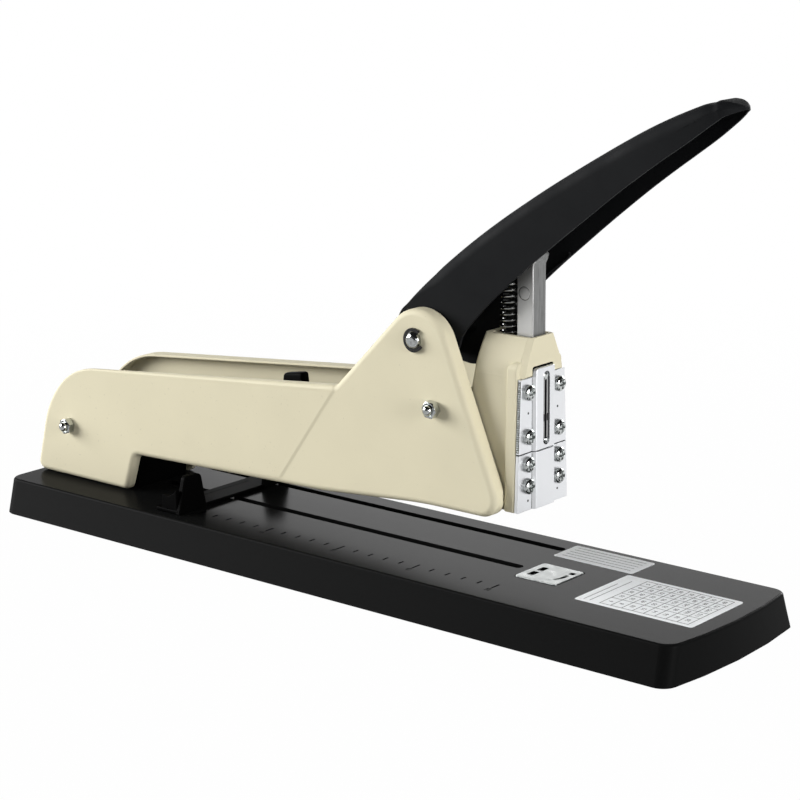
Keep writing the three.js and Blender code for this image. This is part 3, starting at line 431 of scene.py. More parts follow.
def mirrored(profile):
    """A profile followed by its mirror image in the plane of height nothing."""
    return profile + [(radius, -height) for radius, height in profile[::-1]]


def swept(path, radius, sides):
    """A round wire along a path: circles square to the path's direction, their first axis pointing away from
    the path's own upright middle line."""
    path = np.asarray(path, float)
    along = unit(np.gradient(path, axis=0))
    out = path - path.mean(0)
    out[:, 2] = 0
    out = unit(out - along * (out * along).sum(1, keepdims=True))
    across = np.cross(along, out)
    turn = lap(sides)
    ring = (out[:, None] * np.cos(turn)[:, None] + across[:, None] * np.sin(turn)[:, None]) * radius
    return loft(path[:, None] + ring)


def add_object(name, data):
    """An object of its data, linked to the scene."""
    thing = bpy.data.objects.new(name, data)
    bpy.context.scene.collection.objects.link(thing)
    return thing


def add_piece(name, mesh, finish, body):
    """The object of a mesh, with its finish and its body."""
    mesh.materials.append(paint(finish))
    piece = add_object(name, mesh)
    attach(piece, body)
    return piece


def add_mesh(name, shape, finish, body, stands_for=(), smooth=35, outward=True):
    """A piece from points in millimetres and faces, with the nodes that it stands for. Faces that meet at
    less than an angle share their shade, and the widest face at each corner sets it."""
    points, faces = shape
    mesh = bpy.data.meshes.new(name)
    mesh.from_pydata((np.asarray(points, float) * MM).tolist(), [], faces)
    mesh.validate()
    if outward:
        shell = bmesh.new()
        shell.from_mesh(mesh)
        bmesh.ops.remove_doubles(shell, verts=shell.verts, dist=1e-6)
        bmesh.ops.recalc_face_normals(shell, faces=shell.faces)
        shell.to_mesh(mesh)
        shell.free()
    mesh.polygons.foreach_set("use_smooth", np.ones(len(mesh.polygons), bool))
    mesh.set_sharp_from_angle(angle=math.radians(smooth))
    piece = add_piece(name, mesh, finish, body)
    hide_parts(*stands_for)
    weigh = piece.modifiers.new("weigh", "WEIGHTED_NORMAL")
    weigh.keep_sharp = True
    weigh.weight = 80
    return piece


def refinish(piece, finish, chosen):
    """A second finish on the faces whose normal and centre pass a test."""
    piece.data.materials.append(paint(finish))
    index = [chosen(face.normal, face.center) for face in piece.data.polygons]
    piece.data.polygons.foreach_set("material_index", np.array(index, int))


# Finishes

def enamels(tones):
    """The baked enamels: a fine orange peel, slow clouds in the colour and the gloss, and a few specks."""
    for name, colour, rough, specular, peel in (
            ("cream_enamel", tones.cream, 0.45, 0.08, 0.000006),
            ("black_enamel", tones.enamel, 0.65, 0.05, 0.000008)):
        material = shader(name, colour, rough, 0.0, specular)
        tree = material.node_tree
        tinted(material, cloud(tree, 0.045), 0.35, 0.65, 0.965)
        tinted(material, cloud(tree, 0.0011, detail=0.0), 0.81, 0.84, 0.88)
        uneven(material, cloud(tree, 0.012), rough - 0.05, rough + 0.06)
        relief(material, cloud(tree, 0.0016, detail=2.0), peel)


def mouldings(tones):
    """The plastics and rubber: satin sides, a deck whose gloss rises towards its far side, and plain matt
    fittings. The deck and the sides are lighter and darker copies of one black, painted light and
    shade, and the deck's rising gloss is a painted sheen; its fine grain is its own. The fittings'
    near-black is painted shade."""
    for name, share, rough, specular, grain, depth in (
            ("black_moulding", 0.54, 0.48, 0.025, 0.0012, 0.00001),
            ("deck_grain_and_sheen", 0.8, 0.25, 0.04, 0.0009, 0.000001),
            # a near-black copy of the moulding: painted shade on the paper guide, the rear bracket and the
            # knob
            ("painted_shade_moulding", 0.1, 0.5, 0.02, 0.0012, 0.00001),
            ("foot_rubber", 1.6, 0.8, 0.2, 0.0008, 0.00004)):
        material = shader(name, [c * share for c in tones.black], rough, 0.0, specular)
        tree = material.node_tree
        fine = cloud(tree, grain, detail=2.0)
        tinted(material, fine, 0.4, 0.7, 1.15)
        tinted(material, cloud(tree, 0.02), 0.5, 0.75, 1.08)
        uneven(material, cloud(tree, 0.006), rough * 0.985, rough * 1.02)
        relief(material, fine, depth)
    deck = paint("deck_grain_and_sheen")
    tree = deck.node_tree
    # painted sheen: the deck's gloss ramps up towards its far side
    painted_sheen = ramp_along(tree, own_place(tree), (0.35, 0.94, 0), -0.11, 0.04, 0.009, 0.043)
    tree.links.new(painted_sheen, principled(deck).inputs["Specular IOR Level"])


def metals(tones):
    """The plated and bare metals: rolled or ground lines along one axis, with clouds in their gloss."""
    zinc, steel = np.array(tones.zinc), np.array(tones.steel)
    for name, colour, rough, lines, stretch, depth, dark in (
            ("bright_zinc", zinc, 0.2, 0.0005, (1, 1, 30), 0.000003, 0.93),
            ("screw_zinc", zinc * 1.4, 0.09, 0.0012, (1, 1, 1), 0.000004, 0.8),
            # bar_steel and the darker ram_face_painted_shade below it are lit and shaded copies of one steel:
            # painted light on the ram's sides, painted shade on its front and back
            ("bar_steel", steel * 1.7, 0.4, 0.00035, (1, 1, 60), 0.000008, 0.8),
            ("ram_face_painted_shade", steel * 0.62, 0.5, 0.0004, (1, 1, 45), 0.00002, 0.6),
            ("pin_steel", steel, 0.32, 0.0006, (1, 1, 1), 0.000006, 0.75),
            ("staple_wire", zinc * 0.9, 0.25, 0.0004, (1, 25, 25), 0.000004, 0.8),
            ("anvil_zinc", zinc * 1.1, 0.3, 0.0006, (1, 20, 1), 0.000004, 0.9),
            ("coil_steel", steel * 0.9, 0.1, 0.003, (1, 1, 1), 0.000002, 0.6),
            # a near-black steel: painted shade on the magazine channel, and the spring's rod and cap take it
            # too
            ("painted_shade_steel", steel * 0.1, 0.5, 0.0006, (40, 1, 1), 0.000008, 0.7)):
        material = shader(name, colour, rough, 1.0)
        tree = material.node_tree
        fine = cloud(tree, lines, stretch, 2.0)
        tinted(material, fine, 0.42, 0.66, dark)
        tinted(material, cloud(tree, 0.009), 0.5, 0.75, 0.94)
        uneven(material, cloud(tree, 0.004), rough * 0.85, rough * 1.2)
        relief(material, fine, depth)
    ribs = paint("staple_wire")
    wave = ribbed(ribs.node_tree, 0.00072, "X")
    tinted(ribs, wave, 0.35, 0.08, 0.3)
    relief(ribs, wave, 0.0001)
    knurl = shader("knurled_zinc", zinc * 0.55, 0.35, 1.0)
    wave = ribbed(knurl.node_tree, 0.0011, "Z")
    tinted(knurl, cloud(knurl.node_tree, 0.0007, (1, 1, 0.6), 0.0), 0.48, 0.6, 0.3)
    tinted(knurl, wave, 0.4, 0.1, 0.5)
    relief(knurl, wave, 0.00015)


def sundries():
    """Ink, paper and the sprung clips."""
    for name, colour, rough, specular, size, dark in (
            # print, and also painted shade: the gaps by the plates, the ring round the ram's pin and the
            # anvil's holes
            ("print_and_shade_black", (0.0015, 0.0015, 0.0015), 0.7, 0.0, 0.0006, 2.5),
            ("print_grey", (0.05, 0.05, 0.055), 0.7, 0.0, 0.0006, 1.6),
            ("sticker_paper", (0.88, 0.9, 0.91), 0.42, 0.1, 0.0011, 0.93),
            # black for the clips, and painted shade in the plates' dimples
            ("clip_black_and_shade", (0.006, 0.006, 0.006), 0.3, 0.4, 0.0015, 1.8)):
        material = shader(name, colour, rough, 0.0, specular)
        tree = material.node_tree
        fine = cloud(tree, size)
        tinted(material, fine, 0.45, 0.7, dark)
        uneven(material, cloud(tree, size * 4), rough * 0.85, rough * 1.15)
        relief(material, fine, 0.000004)


class STAPLER_OT_finishes(bpy.types.Operator):
    """Makes the finishes and gives every carried-over node its own"""

    bl_idname = "stapler.finishes"
    bl_label = "Finishes"

    def execute(self, context):
        tones = context.scene.stapler_finishes
        enamels(tones)
        mouldings(tones)
        metals(tones)
        sundries()
        finish_of = {
            "base_plastic": "black_moulding", "guide_plastic": "painted_shade_moulding", "foot_rubber": "foot_rubber",
            "cover_paint": "cream_enamel", "head_paint": "cream_enamel", "handle_paint": "black_enamel",
            "bracket_paint": "painted_shade_moulding", "bright_zinc": "bright_zinc", "bar_steel": "bar_steel",
            "dark_steel": "clip_black_and_shade",
        }
        for row in frame["record"]["subparts"]:
            dress(paint(finish_of[row["material_slot"]]), row["node"])
        dress(paint("staple_wire"), "staple_strip")
        # The channel is bright zinc; this near-black steel paints its shade, and the spring's rod and cap
        # take it too.
        dress(paint("painted_shade_steel"), "magazine_channel", "spring_rod", "spring_cap")
        return {"FINISHED"}


# Side covers

COVER_CORNERS = np.array([
    [0, 0, 5], [0.2231, 0, 5], [0.2439, 0.1614, 4.5], [0.6464, 0.1917, 300], [0.8469, 0.2341, 300],
    [1, 0.2341, 9.5], [0.8622, 1.094, 19.5], [0.6833, 0.63, 5], [0.049, 0.4758, 50]])
COVER_CORNERS = COVER_CORNERS * [COVER_LENGTH, COVER_HEIGHT, 1] + [COVER_REAR, COVER_FOOT, 0]
CREASE = np.array([[6.2, 105.6], [-35.7, 48.0]])
CREASE_HALF = 1.2
INNER_BEND = 1.5
TIGHT_SHARE = 0.3
NARROW_RIM = 26.1
LIP_RIM = 21.1
NOTCH_RISE = 3.6
RIM_LEAST = 2.5


def beyond(points, line):
    """How far flat points lie to the right of a line, walked from its second point to its first."""
    along = line[0] - line[1]
    return (points - line[1]) @ (np.array([along[1], -along[0]]) / np.linalg.norm(along))


def creased(points, side, rise):
    """The cover's points with its rear part a little prouder than its front: each moves out by a smooth
    step of its distance from the crease line, and less towards the rim."""
    step = eased(risen(beyond(points[:, [0, 2]], CREASE), -CREASE_HALF, CREASE_HALF))
    points[:, 1] -= side * rise * step * risen(np.abs(points[:, 1]), COVER_RIM, COVER_FACE)
    return points


def split(loop, line, offsets):
    """A flat loop cut by lines parallel to a line, at offsets across it. Each part keeps the points on its
    own side and gains the two where the lines cross the loop."""
    rest, parts = loop, []
    for offset in offsets:
        height = beyond(rest, line) - offset
        following = np.roll(height, -1)
        crossing = (height < 0) != (following < 0)
        share = (height / (height - following + 1e-12))[:, None]
        cut = rest + (np.roll(rest, -1, 0) - rest) * share
        order = np.stack((rest, cut), 1).reshape(-1, 2)
        parts.append(order[np.stack((height < 0, crossing), 1).reshape(-1)])
        rest = order[np.stack((height >= 0, crossing), 1).reshape(-1)]
    return [*parts, rest]


def cover(side, edge, rise):
    """A pressed pan: its outline carried down a profile that rolls over the edge and turns inwards into the
    rim, then back inside the sheet. The edge is tighter along the straight top, where the near cover's rim
    is narrower too, and both rims are narrower under the nose and round the rear notch. The face is cut
    along the crease."""
    rim = [(COVER_RIM + 0.5, 0.0), (COVER_RIM + 0.15, 0.15), (COVER_RIM, 0.5), (COVER_RIM, SHEET - 0.5),
           (COVER_RIM + 0.5, SHEET)]
    outside = [(COVER_FACE - down, by) for down, by in fillet(edge, 7)[::-1]]
    inside = [(COVER_FACE - SHEET - down, SHEET + by) for down, by in fillet(INNER_BEND, 7)[::2]]

    def carried(walk, share):
        return np.stack([placed(rounded(inset(COVER_CORNERS, by * share), 14), "y",
                                side * (COVER_FACE - (COVER_FACE - y) * share)) for y, by in walk])

    rings = carried(outside + rim + inside, 1.0)
    tight = carried(outside, TIGHT_SHARE)
    count = len(tight)
    x, z = rings[..., 0], rings[..., 2]
    top = risen(x, -214, -194) * risen(x, 3, -1) * (z > 60)
    rings[:count] += (tight - rings[:count]) * top[:count, :, None]
    depth = np.abs(rings[..., 1])
    if side < 0:
        depth[count:] += (np.maximum(depth[count:], NARROW_RIM) - depth[count:]) * top[count:]
    lip = (x > FACE - 6.5) & (z > FOOT - 2) & (z < FOOT + 24)
    depth = np.where(lip, np.maximum(depth, LIP_RIM), depth)
    notch = risen(x, -166, -158) * risen(x, -118, -138) * (z < 60)
    depth = np.minimum(np.maximum(depth, COVER_RIM + NOTCH_RISE * notch),
                       np.maximum(depth, COVER_FACE - RIM_LEAST))
    rings[..., 1] = side * depth
    parts = [loft(rings, caps=False)]
    for ring, y in ((rings[0], COVER_FACE), (rings[-1], COVER_FACE - SHEET)):
        flats = split(ring[:, [0, 2]], CREASE, CREASE_HALF * np.linspace(-1, 1, 5))
        parts += [lid(flat, "y", side * y) for flat in flats]
    points, faces = gather(*parts)
    return creased(points, side, rise), faces


class STAPLER_OT_covers(bpy.types.Operator):
    """Adds the two pressed side covers"""

    bl_idname = "stapler.covers"
    bl_label = "Side covers"

    def execute(self, context):
        sizes = context.scene.stapler_sizes
        for side, name in SIDES:
            pan = cover(side, sizes.cover_edge / MM, sizes.crease / MM)
            add_mesh(f"pressed_cover_{name}", pan, "cream_enamel", "frame", [f"cover_{name}"])
        return {"FINISHED"}


# Lever handle: rows of the crown's x and z, the half width, and the lower edge's x and z from the pin

HANDLE = np.array([
    [-14.8, -13.4, 18.3, -5, -19.4], [-19, -6.2, 18.3, 1.8, -19.9], [-19.8, 2.8, 18.3, 9.1, -17.8],
    [-16.8, 10.9, 18.3, 15.7, -12.4], [-10.7, 16.9, 18.3, 19.5, -4.4],
    [3.9, 32.6, 18.3, 23.6, 5.1], [16.4, 43.1, 18.2, 35.8, 18.5], [29.2, 52.8, 18, 46.8, 28.8],
    [42.4, 62.1, 17.8, 58.4, 39], [55.9, 71.1, 17.3, 70.4, 48.9], [69.6, 79.9, 16.8, 82.6, 58.9],
    [83.4, 88.3, 16.3, 95.1, 68.8], [97.5, 96.5, 16.3, 107.6, 78.6], [111.5, 104.4, 16.3, 120.4, 88.1],
    [125.8, 112, 16.1, 133.4, 97.3], [140.4, 118.9, 14.8, 146.3, 106.3], [155, 124.8, 12.6, 159.1, 116.1],
    [160.5, 125.3, 10.9, 162.1, 118.6], [164.2, 124.6, 8, 164.9, 120], [166.6, 123.7, 4.6, 167.1, 120.9],
    [167.9, 122.9, 1.6, 168.2, 121.3]])
LUG_EDGE = ((-9.2, -4, 2.3, 8.6), (0.6, 2.7, 6.2, 7.0))
LEVER_WALL = 1.5
PINCH_AT, PINCH_SLANT, PINCH_WIDTH = 160.2, 0.55, 1.5


def lever():
    """The handle's shell. A spline runs through its crown, its half width and its lower edge; at each place
    the section is two straight walls and a crown, joined by a quarter round that is sharp at the lug, and
    the inside is the same section drawn in by the wall. A pinch, a bell curve of the distance from a slanted
    line, sets off the flat tongue at the tip."""
    rows = spline(HANDLE, 115)
    crown, half, low = rows[:, None, :2], rows[:, None, 2], rows[:, None, 3:]
    up = unit(crown - low)
    height = np.linalg.norm(crown - low, axis=2)
    turn = np.linspace(0, np.pi / 2, 9)
    bow = np.linspace(0, 1, 6)[1:]

    def half_section(width, tall, round_off):
        y = np.concatenate((np.tile(width, 3), width - round_off * (1 - np.cos(turn)),
                            (width - round_off) * (1 - bow)), 1)
        v = np.concatenate((0 * tall, tall * 0.3, tall * 0.5, tall - round_off * (1 - np.sin(turn)),
                            np.tile(tall, len(bow))), 1)
        return y, v

    shoulder = np.minimum(np.minimum(np.interp(crown[..., 0], *LUG_EDGE), height * 0.8), half * 0.7)
    y_out, v_out = half_section(half, height, shoulder)
    y_in, v_in = half_section(half - LEVER_WALL, height - LEVER_WALL,
                              np.maximum(shoulder - LEVER_WALL, shoulder / 3))
    y = np.concatenate((y_out, -y_out[:, -2::-1], -y_in, y_in[:, -2::-1]), 1)
    v = np.concatenate((v_out, v_out[:, -2::-1], v_in, v_in[:, -2::-1]), 1)
    past = low[..., 0] + up[..., 0] * v - PINCH_AT + PINCH_SLANT * v
    pinch = np.exp(-(past / PINCH_WIDTH) ** 2)
    y = y * (1 - 0.05 * pinch)
    v = v * (1 - 0.09 * pinch)
    x = low[..., 0] + up[..., 0] * v + HANDLE_PIN[0]
    z = low[..., 1] + up[..., 1] * v + HANDLE_PIN[1]
    return loft(np.stack((x, y, z), 2))


class STAPLER_OT_handle(bpy.types.Operator):
    """Adds the lever handle and the bead inside its far wall"""

    bl_idname = "stapler.handle"
    bl_label = "Handle"

    def execute(self, context):
        add_mesh("lever_shell", lever(), "black_enamel", "handle", ["handle_shell"])
        bead = spline([[104.2, 15.6, 165.6], [108.5, 15.6, 169.2], [113, 15.6, 172.7], [117, 15.5, 175.7],
                       [118.4, 15.4, 177.4], [117.9, 15.3, 178.6]], 40)
        add_mesh("inner_bead", swept(bead, 0.55, 10), "black_enamel", "handle")
        return {"FINISHED"}


# Base tray

BED, POCKET_FLOOR = 17.0, 18.2
SLOT_REAR, SLOT_FRONT, SLOT_LINES = -147.2, 102.2, (0.0, 35.7)


def base_corners(z, by):
    """The tray's outline at a height: straight drafted sides, an upright rear end, a bowed front and round
    corners, drawn in by a width."""
    lift = risen(z, 0.4, 18)
    side = BASE_WIDTH / 2 - 4.65 * lift - by
    end = BASE_LENGTH / 2 - 0.8 * lift - by
    rear = BASE_LENGTH / 2 - 1.5 - by
    bow = 4.5
    return [(-rear, -side, 8), (end - bow, -side, 8), (end - bow / 4, -side / 2, 0), (end, 0, 0),
            (end - bow / 4, side / 2, 0), (end - bow, side, 3.5 + 3.5 * lift), (-rear, side, 8)]


def tray(edge, width):
    """The hollow tray: its outline carried up a drafted side and over a rounded edge on to the deck, with
    the wall's inside below. The deck leaves its slots and the anvil's pocket open."""
    walk = [(BED, 2.4), (0.8, 2.4), (0.4, 2.0), (0.4, 0.4), (0.8, 0.0), (9, 0.0)]
    walk += [(DECK - down, by * 0.8) for down, by in fillet(edge, 6)]
    rings = np.stack([placed(rounded(base_corners(z, by), 8), "z", z) for z, by in walk])
    slots = [slot_loop(SLOT_REAR - width / 2, SLOT_FRONT, y, width) for y in SLOT_LINES]
    pocket = box_loop(106.8, 132.4, -13.7, 12.4, 1.8, 6)
    return gather(
        loft(rings, caps=False),
        pierced([rings[0][:, :2], *slots], "z", BED),
        *(walls(slot, "z", DECK, BED) for slot in slots),
        pit(pocket, "z", DECK, POCKET_FLOOR),
        pierced([rings[-1][:, :2], *slots, pocket], "z", DECK))


class STAPLER_OT_base(bpy.types.Operator):
    """Adds the moulded base tray"""

    bl_idname = "stapler.base"
    bl_label = "Base"

    def execute(self, context):
        sizes = context.scene.stapler_sizes
        piece = add_mesh("moulded_tray", tray(sizes.base_edge / MM, sizes.slot_width / MM), "black_moulding",
                         "frame", ["base_tray"])
        top = (DECK - sizes.base_edge / MM) * MM
        # The deck takes the lighter copy of the black, as painted light against the sides' painted shade.
        refinish(piece, "deck_grain_and_sheen", lambda normal, centre: normal.z > 0.8 and centre.z > top)
        return {"FINISHED"}


# Head housing: rows of height, length and half width, then the near and far halves of the front

HEAD_BELOW = [[0.6, 31.95, 18.0], [25, 30.9, 17.95], [50, 29.5, 17.7], [57.7, 28.8, 17.25],
              [66.1, 27.7, 16.5]]
HEAD_ABOVE = [[66.8, 27.6, 16.4, 14.2, 15.95], [70.6, 27.3, 15.7, 12.8, 15.1], [75.2, 26.9, 14.2, 11.2, 13.1],
              [79.8, 26.6, 12.1, 9.3, 10.9], [84.5, 26.3, 9.6, 7.2, 8.7]]
HEAD_TOP, SPRING_SEAT, FLANGE_TOP = 85.2, 72, 74
BROW = 2.1
HOLLOW = 30


def housing():
    """The head's block, as rings of its plan at rising heights: one smooth taper, a chamfer beside its near
    front edge, a brow above the plates, and a top that is open for the ram and its spring. Flanges stand
    out behind the plates."""
    def plan(z, length, half, near, far, front, by=0.0):
        ear = min(front - 0.9, -0.2)
        corners = inset([(-length, -half, 1.6), (ear, -half, 0.7), (front, -near, 0.5),
                         (front, far, 0.5), (ear, half, 0.7), (-length, half, 1.6)], by)
        return placed(rounded(corners, 4), "z", z) + ON_HEAD

    rings = [plan(down, 31.95, 18, 17, 17, 0, by) for down, by in fillet(0.6, 3)[::-1]]
    rings += [plan(z, length, half, half - 0.8, half - 0.8, 0)
              for z, length, half in spline(HEAD_BELOW, 17)[1:]]
    rings += [plan(66.4, 27.65, 16.5, 15.2, 16, 0.4), plan(66.5, 27.65, 16.5, 15, 16, 1.7)]
    rings += [plan(*row, BROW) for row in spline(HEAD_ABOVE, 21)]
    rings += [plan(HEAD_TOP - down, 26.25, 9.4, 7.0, 8.5, BROW, by) for down, by in fillet(0.25, 3)[1:]]
    well = box_loop(-23.3, 0.7, -7.2, 7.2, 1, 4) + ON_HEAD[:2]
    mouth = box_loop(-10.4, 0.3, -5.8, 5.8, 0.4, 3) + ON_HEAD[:2]
    tunnel = box_loop(-31.0, -2.3, -9.9, 9.9, 0.4, 2) + ON_HEAD[:2]
    top = FOOT + HEAD_TOP
    seat = FOOT + SPRING_SEAT
    block = gather(
        loft(rings, caps=False),
        pierced([rings[-1][:, :2], well], "z", top),
        walls(well, "z", top, seat),
        pierced([well, mouth], "z", seat),
        pit(mouth, "z", seat, seat - HOLLOW),
        pierced([rings[0][:, :2], tunnel], "z", FOOT),
        pit(tunnel, "z", FOOT, FOOT + HOLLOW))
    levels = [(0.3, 0.3), (0.6, 0.0)] + [(FLANGE_TOP - down, by) for down, by in fillet(3.5, 6)]
    flange = []
    for z, by in levels:
        half = 20.5 - 2.2 * z / FLANGE_TOP - by
        flange.append(placed(box_loop(by - 5.9, 0.0, -half, half, 0.7, 3), "z", z) + ON_HEAD)
    return block, loft(flange)


class STAPLER_OT_head(bpy.types.Operator):
    """Adds the head's housing with its flanges"""

    bl_idname = "stapler.head"
    bl_label = "Head housing"

    def execute(self, context):
        block, flange = housing()
        add_mesh("head_block", block, "cream_enamel", "arm", ["head_housing"])
        add_mesh("head_flange", flange, "cream_enamel", "arm")
        return {"FINISHED"}


# Face plates, each with rows of height, half width and inset

PLATES = {"lower": [(0.3, 20.3, 0.2), (0.5, 20.5, 0), (28.8, 19.25, 0), (29.0, 19.1, 0.2)],
          "upper": [(29.45, 19.1, 0.2), (29.65, 19.2, 0), (66.2, 17.6, 0), (66.4, 17.5, 0.2)]}
PLATE_BACK, WING, RIDGE = 0.3, 2.4, 4.0
WINDOW = (0.65, 31.2, 68.0, 2.6)
PLATES_HEIGHT, SCREW_OUT = 66.7, 12.3
SCREW_LEVELS = [share * PLATES_HEIGHT for share in (0.19, 0.353, 0.56, 0.89)]


def face_plate(levels, crest):
    """A pressed plate in two parts. The wings' section is carried up the head while its half width changes.
    The ridge stands on them: its outline drawn in from the wings' plane to the ridge's. Where the ridge
    has a crest, it rises above the wings and is pierced by the window."""
    rings = [placed(box_loop(PLATE_BACK + by, WING - by, by - half, half - by, 0.35, 3), "z", z)
             for z, half, by in levels]
    low, high = levels[0][0], levels[-1][0]
    sides = [(1, low), (-1, low), (-1, high), (1, high)]
    if crest:
        sides[2:] = [(-1, high - 0.2), (-1, high + crest), (1, high + crest), (1, high - 0.2)]
    outline = []
    for x, half, tip, by in ((WING - 0.1, 8.7, 7.6, 0), (WING, 8.7, 7.6, 0), (RIDGE - 0.3, 7.6, 7.35, 0),
                             (RIDGE - 0.09, 7.35, 7.15, 0.1), (RIDGE, 7.1, 6.9, 0.3)):
        ring = [(side * (tip if z > high else half), min(max(z, low + by), high + crest - by),
                 1.2 if z > high else 0.1) for side, z in sides[::-1]]
        outline.append(placed(rounded(ring, 4), "x", x))
    back, front = outline[0][:, 1:], outline[-1][:, 1:]
    parts = [loft(rings), loft(outline, caps=False), lid(back, "x", WING - 0.1)]
    if crest:
        y, z0, z1, half = WINDOW
        hole = slot_loop(z0, z1, 0, 2 * half)[:, ::-1] + [y, 0]
        parts += [pierced([front, hole], "x", RIDGE), walls(hole, "x", RIDGE, WING)]
    else:
        parts.append(lid(front, "x", RIDGE))
    return moved(gather(*parts), ON_HEAD)


def knurled_edge(side):
    """A thin strip along the upper plate's edge, as wide as the plate is thick."""
    rings = [placed(box_loop(0.5, 2.2, half - 0.3, half + 0.18, 0.1, 2), "z", z)
             for z, half in ((30.2, 19.1), (65.6, 17.55))]
    return loft(np.stack(rings) * [1, side, 1] + ON_HEAD)


def window_fittings():
    """What shows in the window: two guide bars beside the slit's painted shade, the driver's round head above
    and its hooked end below."""
    y = WINDOW[0]

    def pair(off, half, low, high, edge, *way):
        return [slab(box_corners(y + s * off - half, y + s * off + half, low, high, edge), "x", *way)
                for s in (-1, 1)]

    bars = pair(1.35, 0.55, 34.5, 64.5, 0.2, 2.45, 3.45, 0.2, 2, 3)
    clamps = pair(1.7, 0.75, 43.0, 46.5, 0.1, 2.5, 3.8, 0.1, 1, 2)
    dome = [(2.2, 0), (2.2, 0.5), (1.9, 1.0), (1.2, 1.35), (0.5, 1.45), (0, 1.47)]
    pins = [turned([(r * s, x + 2.45) for r, x in dome], 28, "x", (0, y + dy, z))
            for s, dy, z in ((1.0, 0.1, 65.4), (0.62, 0.9, 33.2), (0.45, -0.9, 33.8))]
    return [moved(gather(*parts), ON_HEAD) for parts in (bars, clamps, pins)]


def plate_gaps():
    """Thin dark plates that paint the shade in the gaps above the ridge's crest, between the plates, in the
    window and beside the ridge's foot."""
    crest = slab([(-8.4, 60, 0.3), (8.2, 60, 0.3), (8.2, 71.1, 1.3), (-8.4, 71.1, 1.3)], "x", 2.05, 2.3,
                 0.04, 1, 5)
    joint = slab(box_corners(-19.0, 19.0, 28.6, 29.9, 0.1), "x", 0.35, 2.1, 0.1, 1, 2)
    y, z0, z1, half = WINDOW
    bed = slab(box_corners(y - half, y + half, z0 - half, z1 + half, 0.5), "x", 2.35, 2.44, 0.03, 1, 3)
    feet = [slab(box_corners(s * 8.95 - 0.17, s * 8.95 + 0.17, low, high, 0.1), "x", 2.3, 2.44, 0.03, 1, 2)
            for s in (-1, 1) for low, high in ((0.6, 28.8), (29.7, 66.0))]
    return moved(gather(crest, joint, bed, *feet), ON_HEAD)


def punched_marks():
    """Four dimples in the wings, drawn as dark discs that paint the shade in their hollows."""
    dimple = [(0.62, 2.36), (0.6, 2.44), (0.35, 2.46), (0.0, 2.44)]
    places = ((-12, 49.0), (11.8, 48.0), (-12, 5.2), (12, 6.2))
    return moved(gather(*(turned(dimple, 16, "x", (0, y, z)) for y, z in places)), ON_HEAD)


def pan_screw(at, turn):
    """A pan head with a cross recess: a polar grid over the head, whose height is a dome less a depth inside
    the cross, and a steep rounded skirt below."""
    radius, height, skirt, swing, recessed = 3.85, 3.0, 0.28, 1.22, 1.5
    share = np.linspace(0, 1, 25)[:, None]
    angle = lap(72)[None]
    out = np.minimum(share / (1 - skirt), 1)
    reach = radius * (np.sin(out * swing) / np.sin(swing)) ** 0.9
    rise = height * np.where(share < 1 - skirt, 0.5 + 0.5 * np.cos(out * np.pi / 2) ** 0.8,
                             0.5 * (1 - share) / skirt)
    u = reach * np.cos(angle + turn)
    v = reach * np.sin(angle + turn)
    narrow = np.minimum(np.abs(u), np.abs(v))
    wide = np.maximum(np.abs(u), np.abs(v))
    recess = risen(narrow, 0.68, 0.5) * risen(wide, 2.5, 2.2)
    x = rise - recessed * recess * risen(rise, 0, recessed)
    return (np.stack((x, u, v), 2) + at).reshape(-1, 3), grid_faces(*x.shape)


class STAPLER_OT_plates(bpy.types.Operator):
    """Adds the two face plates, what shows in the window and the eight screws"""

    bl_idname = "stapler.plates"
    bl_label = "Face plates"

    def execute(self, context):
        for name, crest in (("lower", 0.0), ("upper", 3.9)):
            add_mesh(f"face_plate_{name}", face_plate(PLATES[name], crest), "bright_zinc", "arm",
                     [f"{name}_plate"])
        for side, name in SIDES:
            add_mesh(f"knurled_edge_{name}", knurled_edge(side), "knurled_zinc", "arm")
        bars, clamps, pins = window_fittings()
        for name, shape, finish, slot in (("shadow_gaps", plate_gaps(), "print_and_shade_black", "dark_steel"),
                                          ("window_bars", bars, "pin_steel", "bar_steel"),
                                          ("window_clamps", clamps, "clip_black_and_shade", "dark_steel"),
                                          ("window_pins", pins, "screw_zinc", "bright_zinc"),
                                          ("punched_marks", punched_marks(), "clip_black_and_shade", "bright_zinc")):
            add_mesh(name, shape, finish, "arm")
        places = [(y, z) for z in SCREW_LEVELS for y in (-SCREW_OUT, SCREW_OUT)]
        for number, (y, z) in enumerate(places, 1):
            screw = pan_screw((FACE + 2.45, y, FOOT + z), 0.5 + number * 1.9)
            add_mesh(f"cross_screw_{number}", screw, "screw_zinc", "arm",
                     [f"plate_screw_{number}"], smooth=50)
        return {"FINISHED"}


# Ram and its spring

RAM_LOW, RAM_HIGH = 109.0, 179.75
SPRING_X, SPRING_MEAN, SPRING_LOW, SPRING_HIGH, SPRING_LAPS = 95.2, 5.3, 126.6, 168.95, 15


def ram_bar():
    """The square bar: its rounded square carried up, with its front drawn forward near the top by a smooth
    step of the height."""
    levels = np.array([RAM_LOW, RAM_LOW + 0.5, 172, 174, 175.5, 177, 178.5, RAM_HIGH - 0.5, RAM_HIGH])
    by = np.where((levels == RAM_LOW) | (levels == RAM_HIGH), 0.5, 0)
    flare = 1.8 * eased(risen(levels, 173, 179))
    return loft([placed(rounded(inset(box_corners(102.1, 111.9 + f, -5.3, 5.3, 0.7), b), 3), "z", z)
                 for z, b, f in zip(levels, by, flare)])


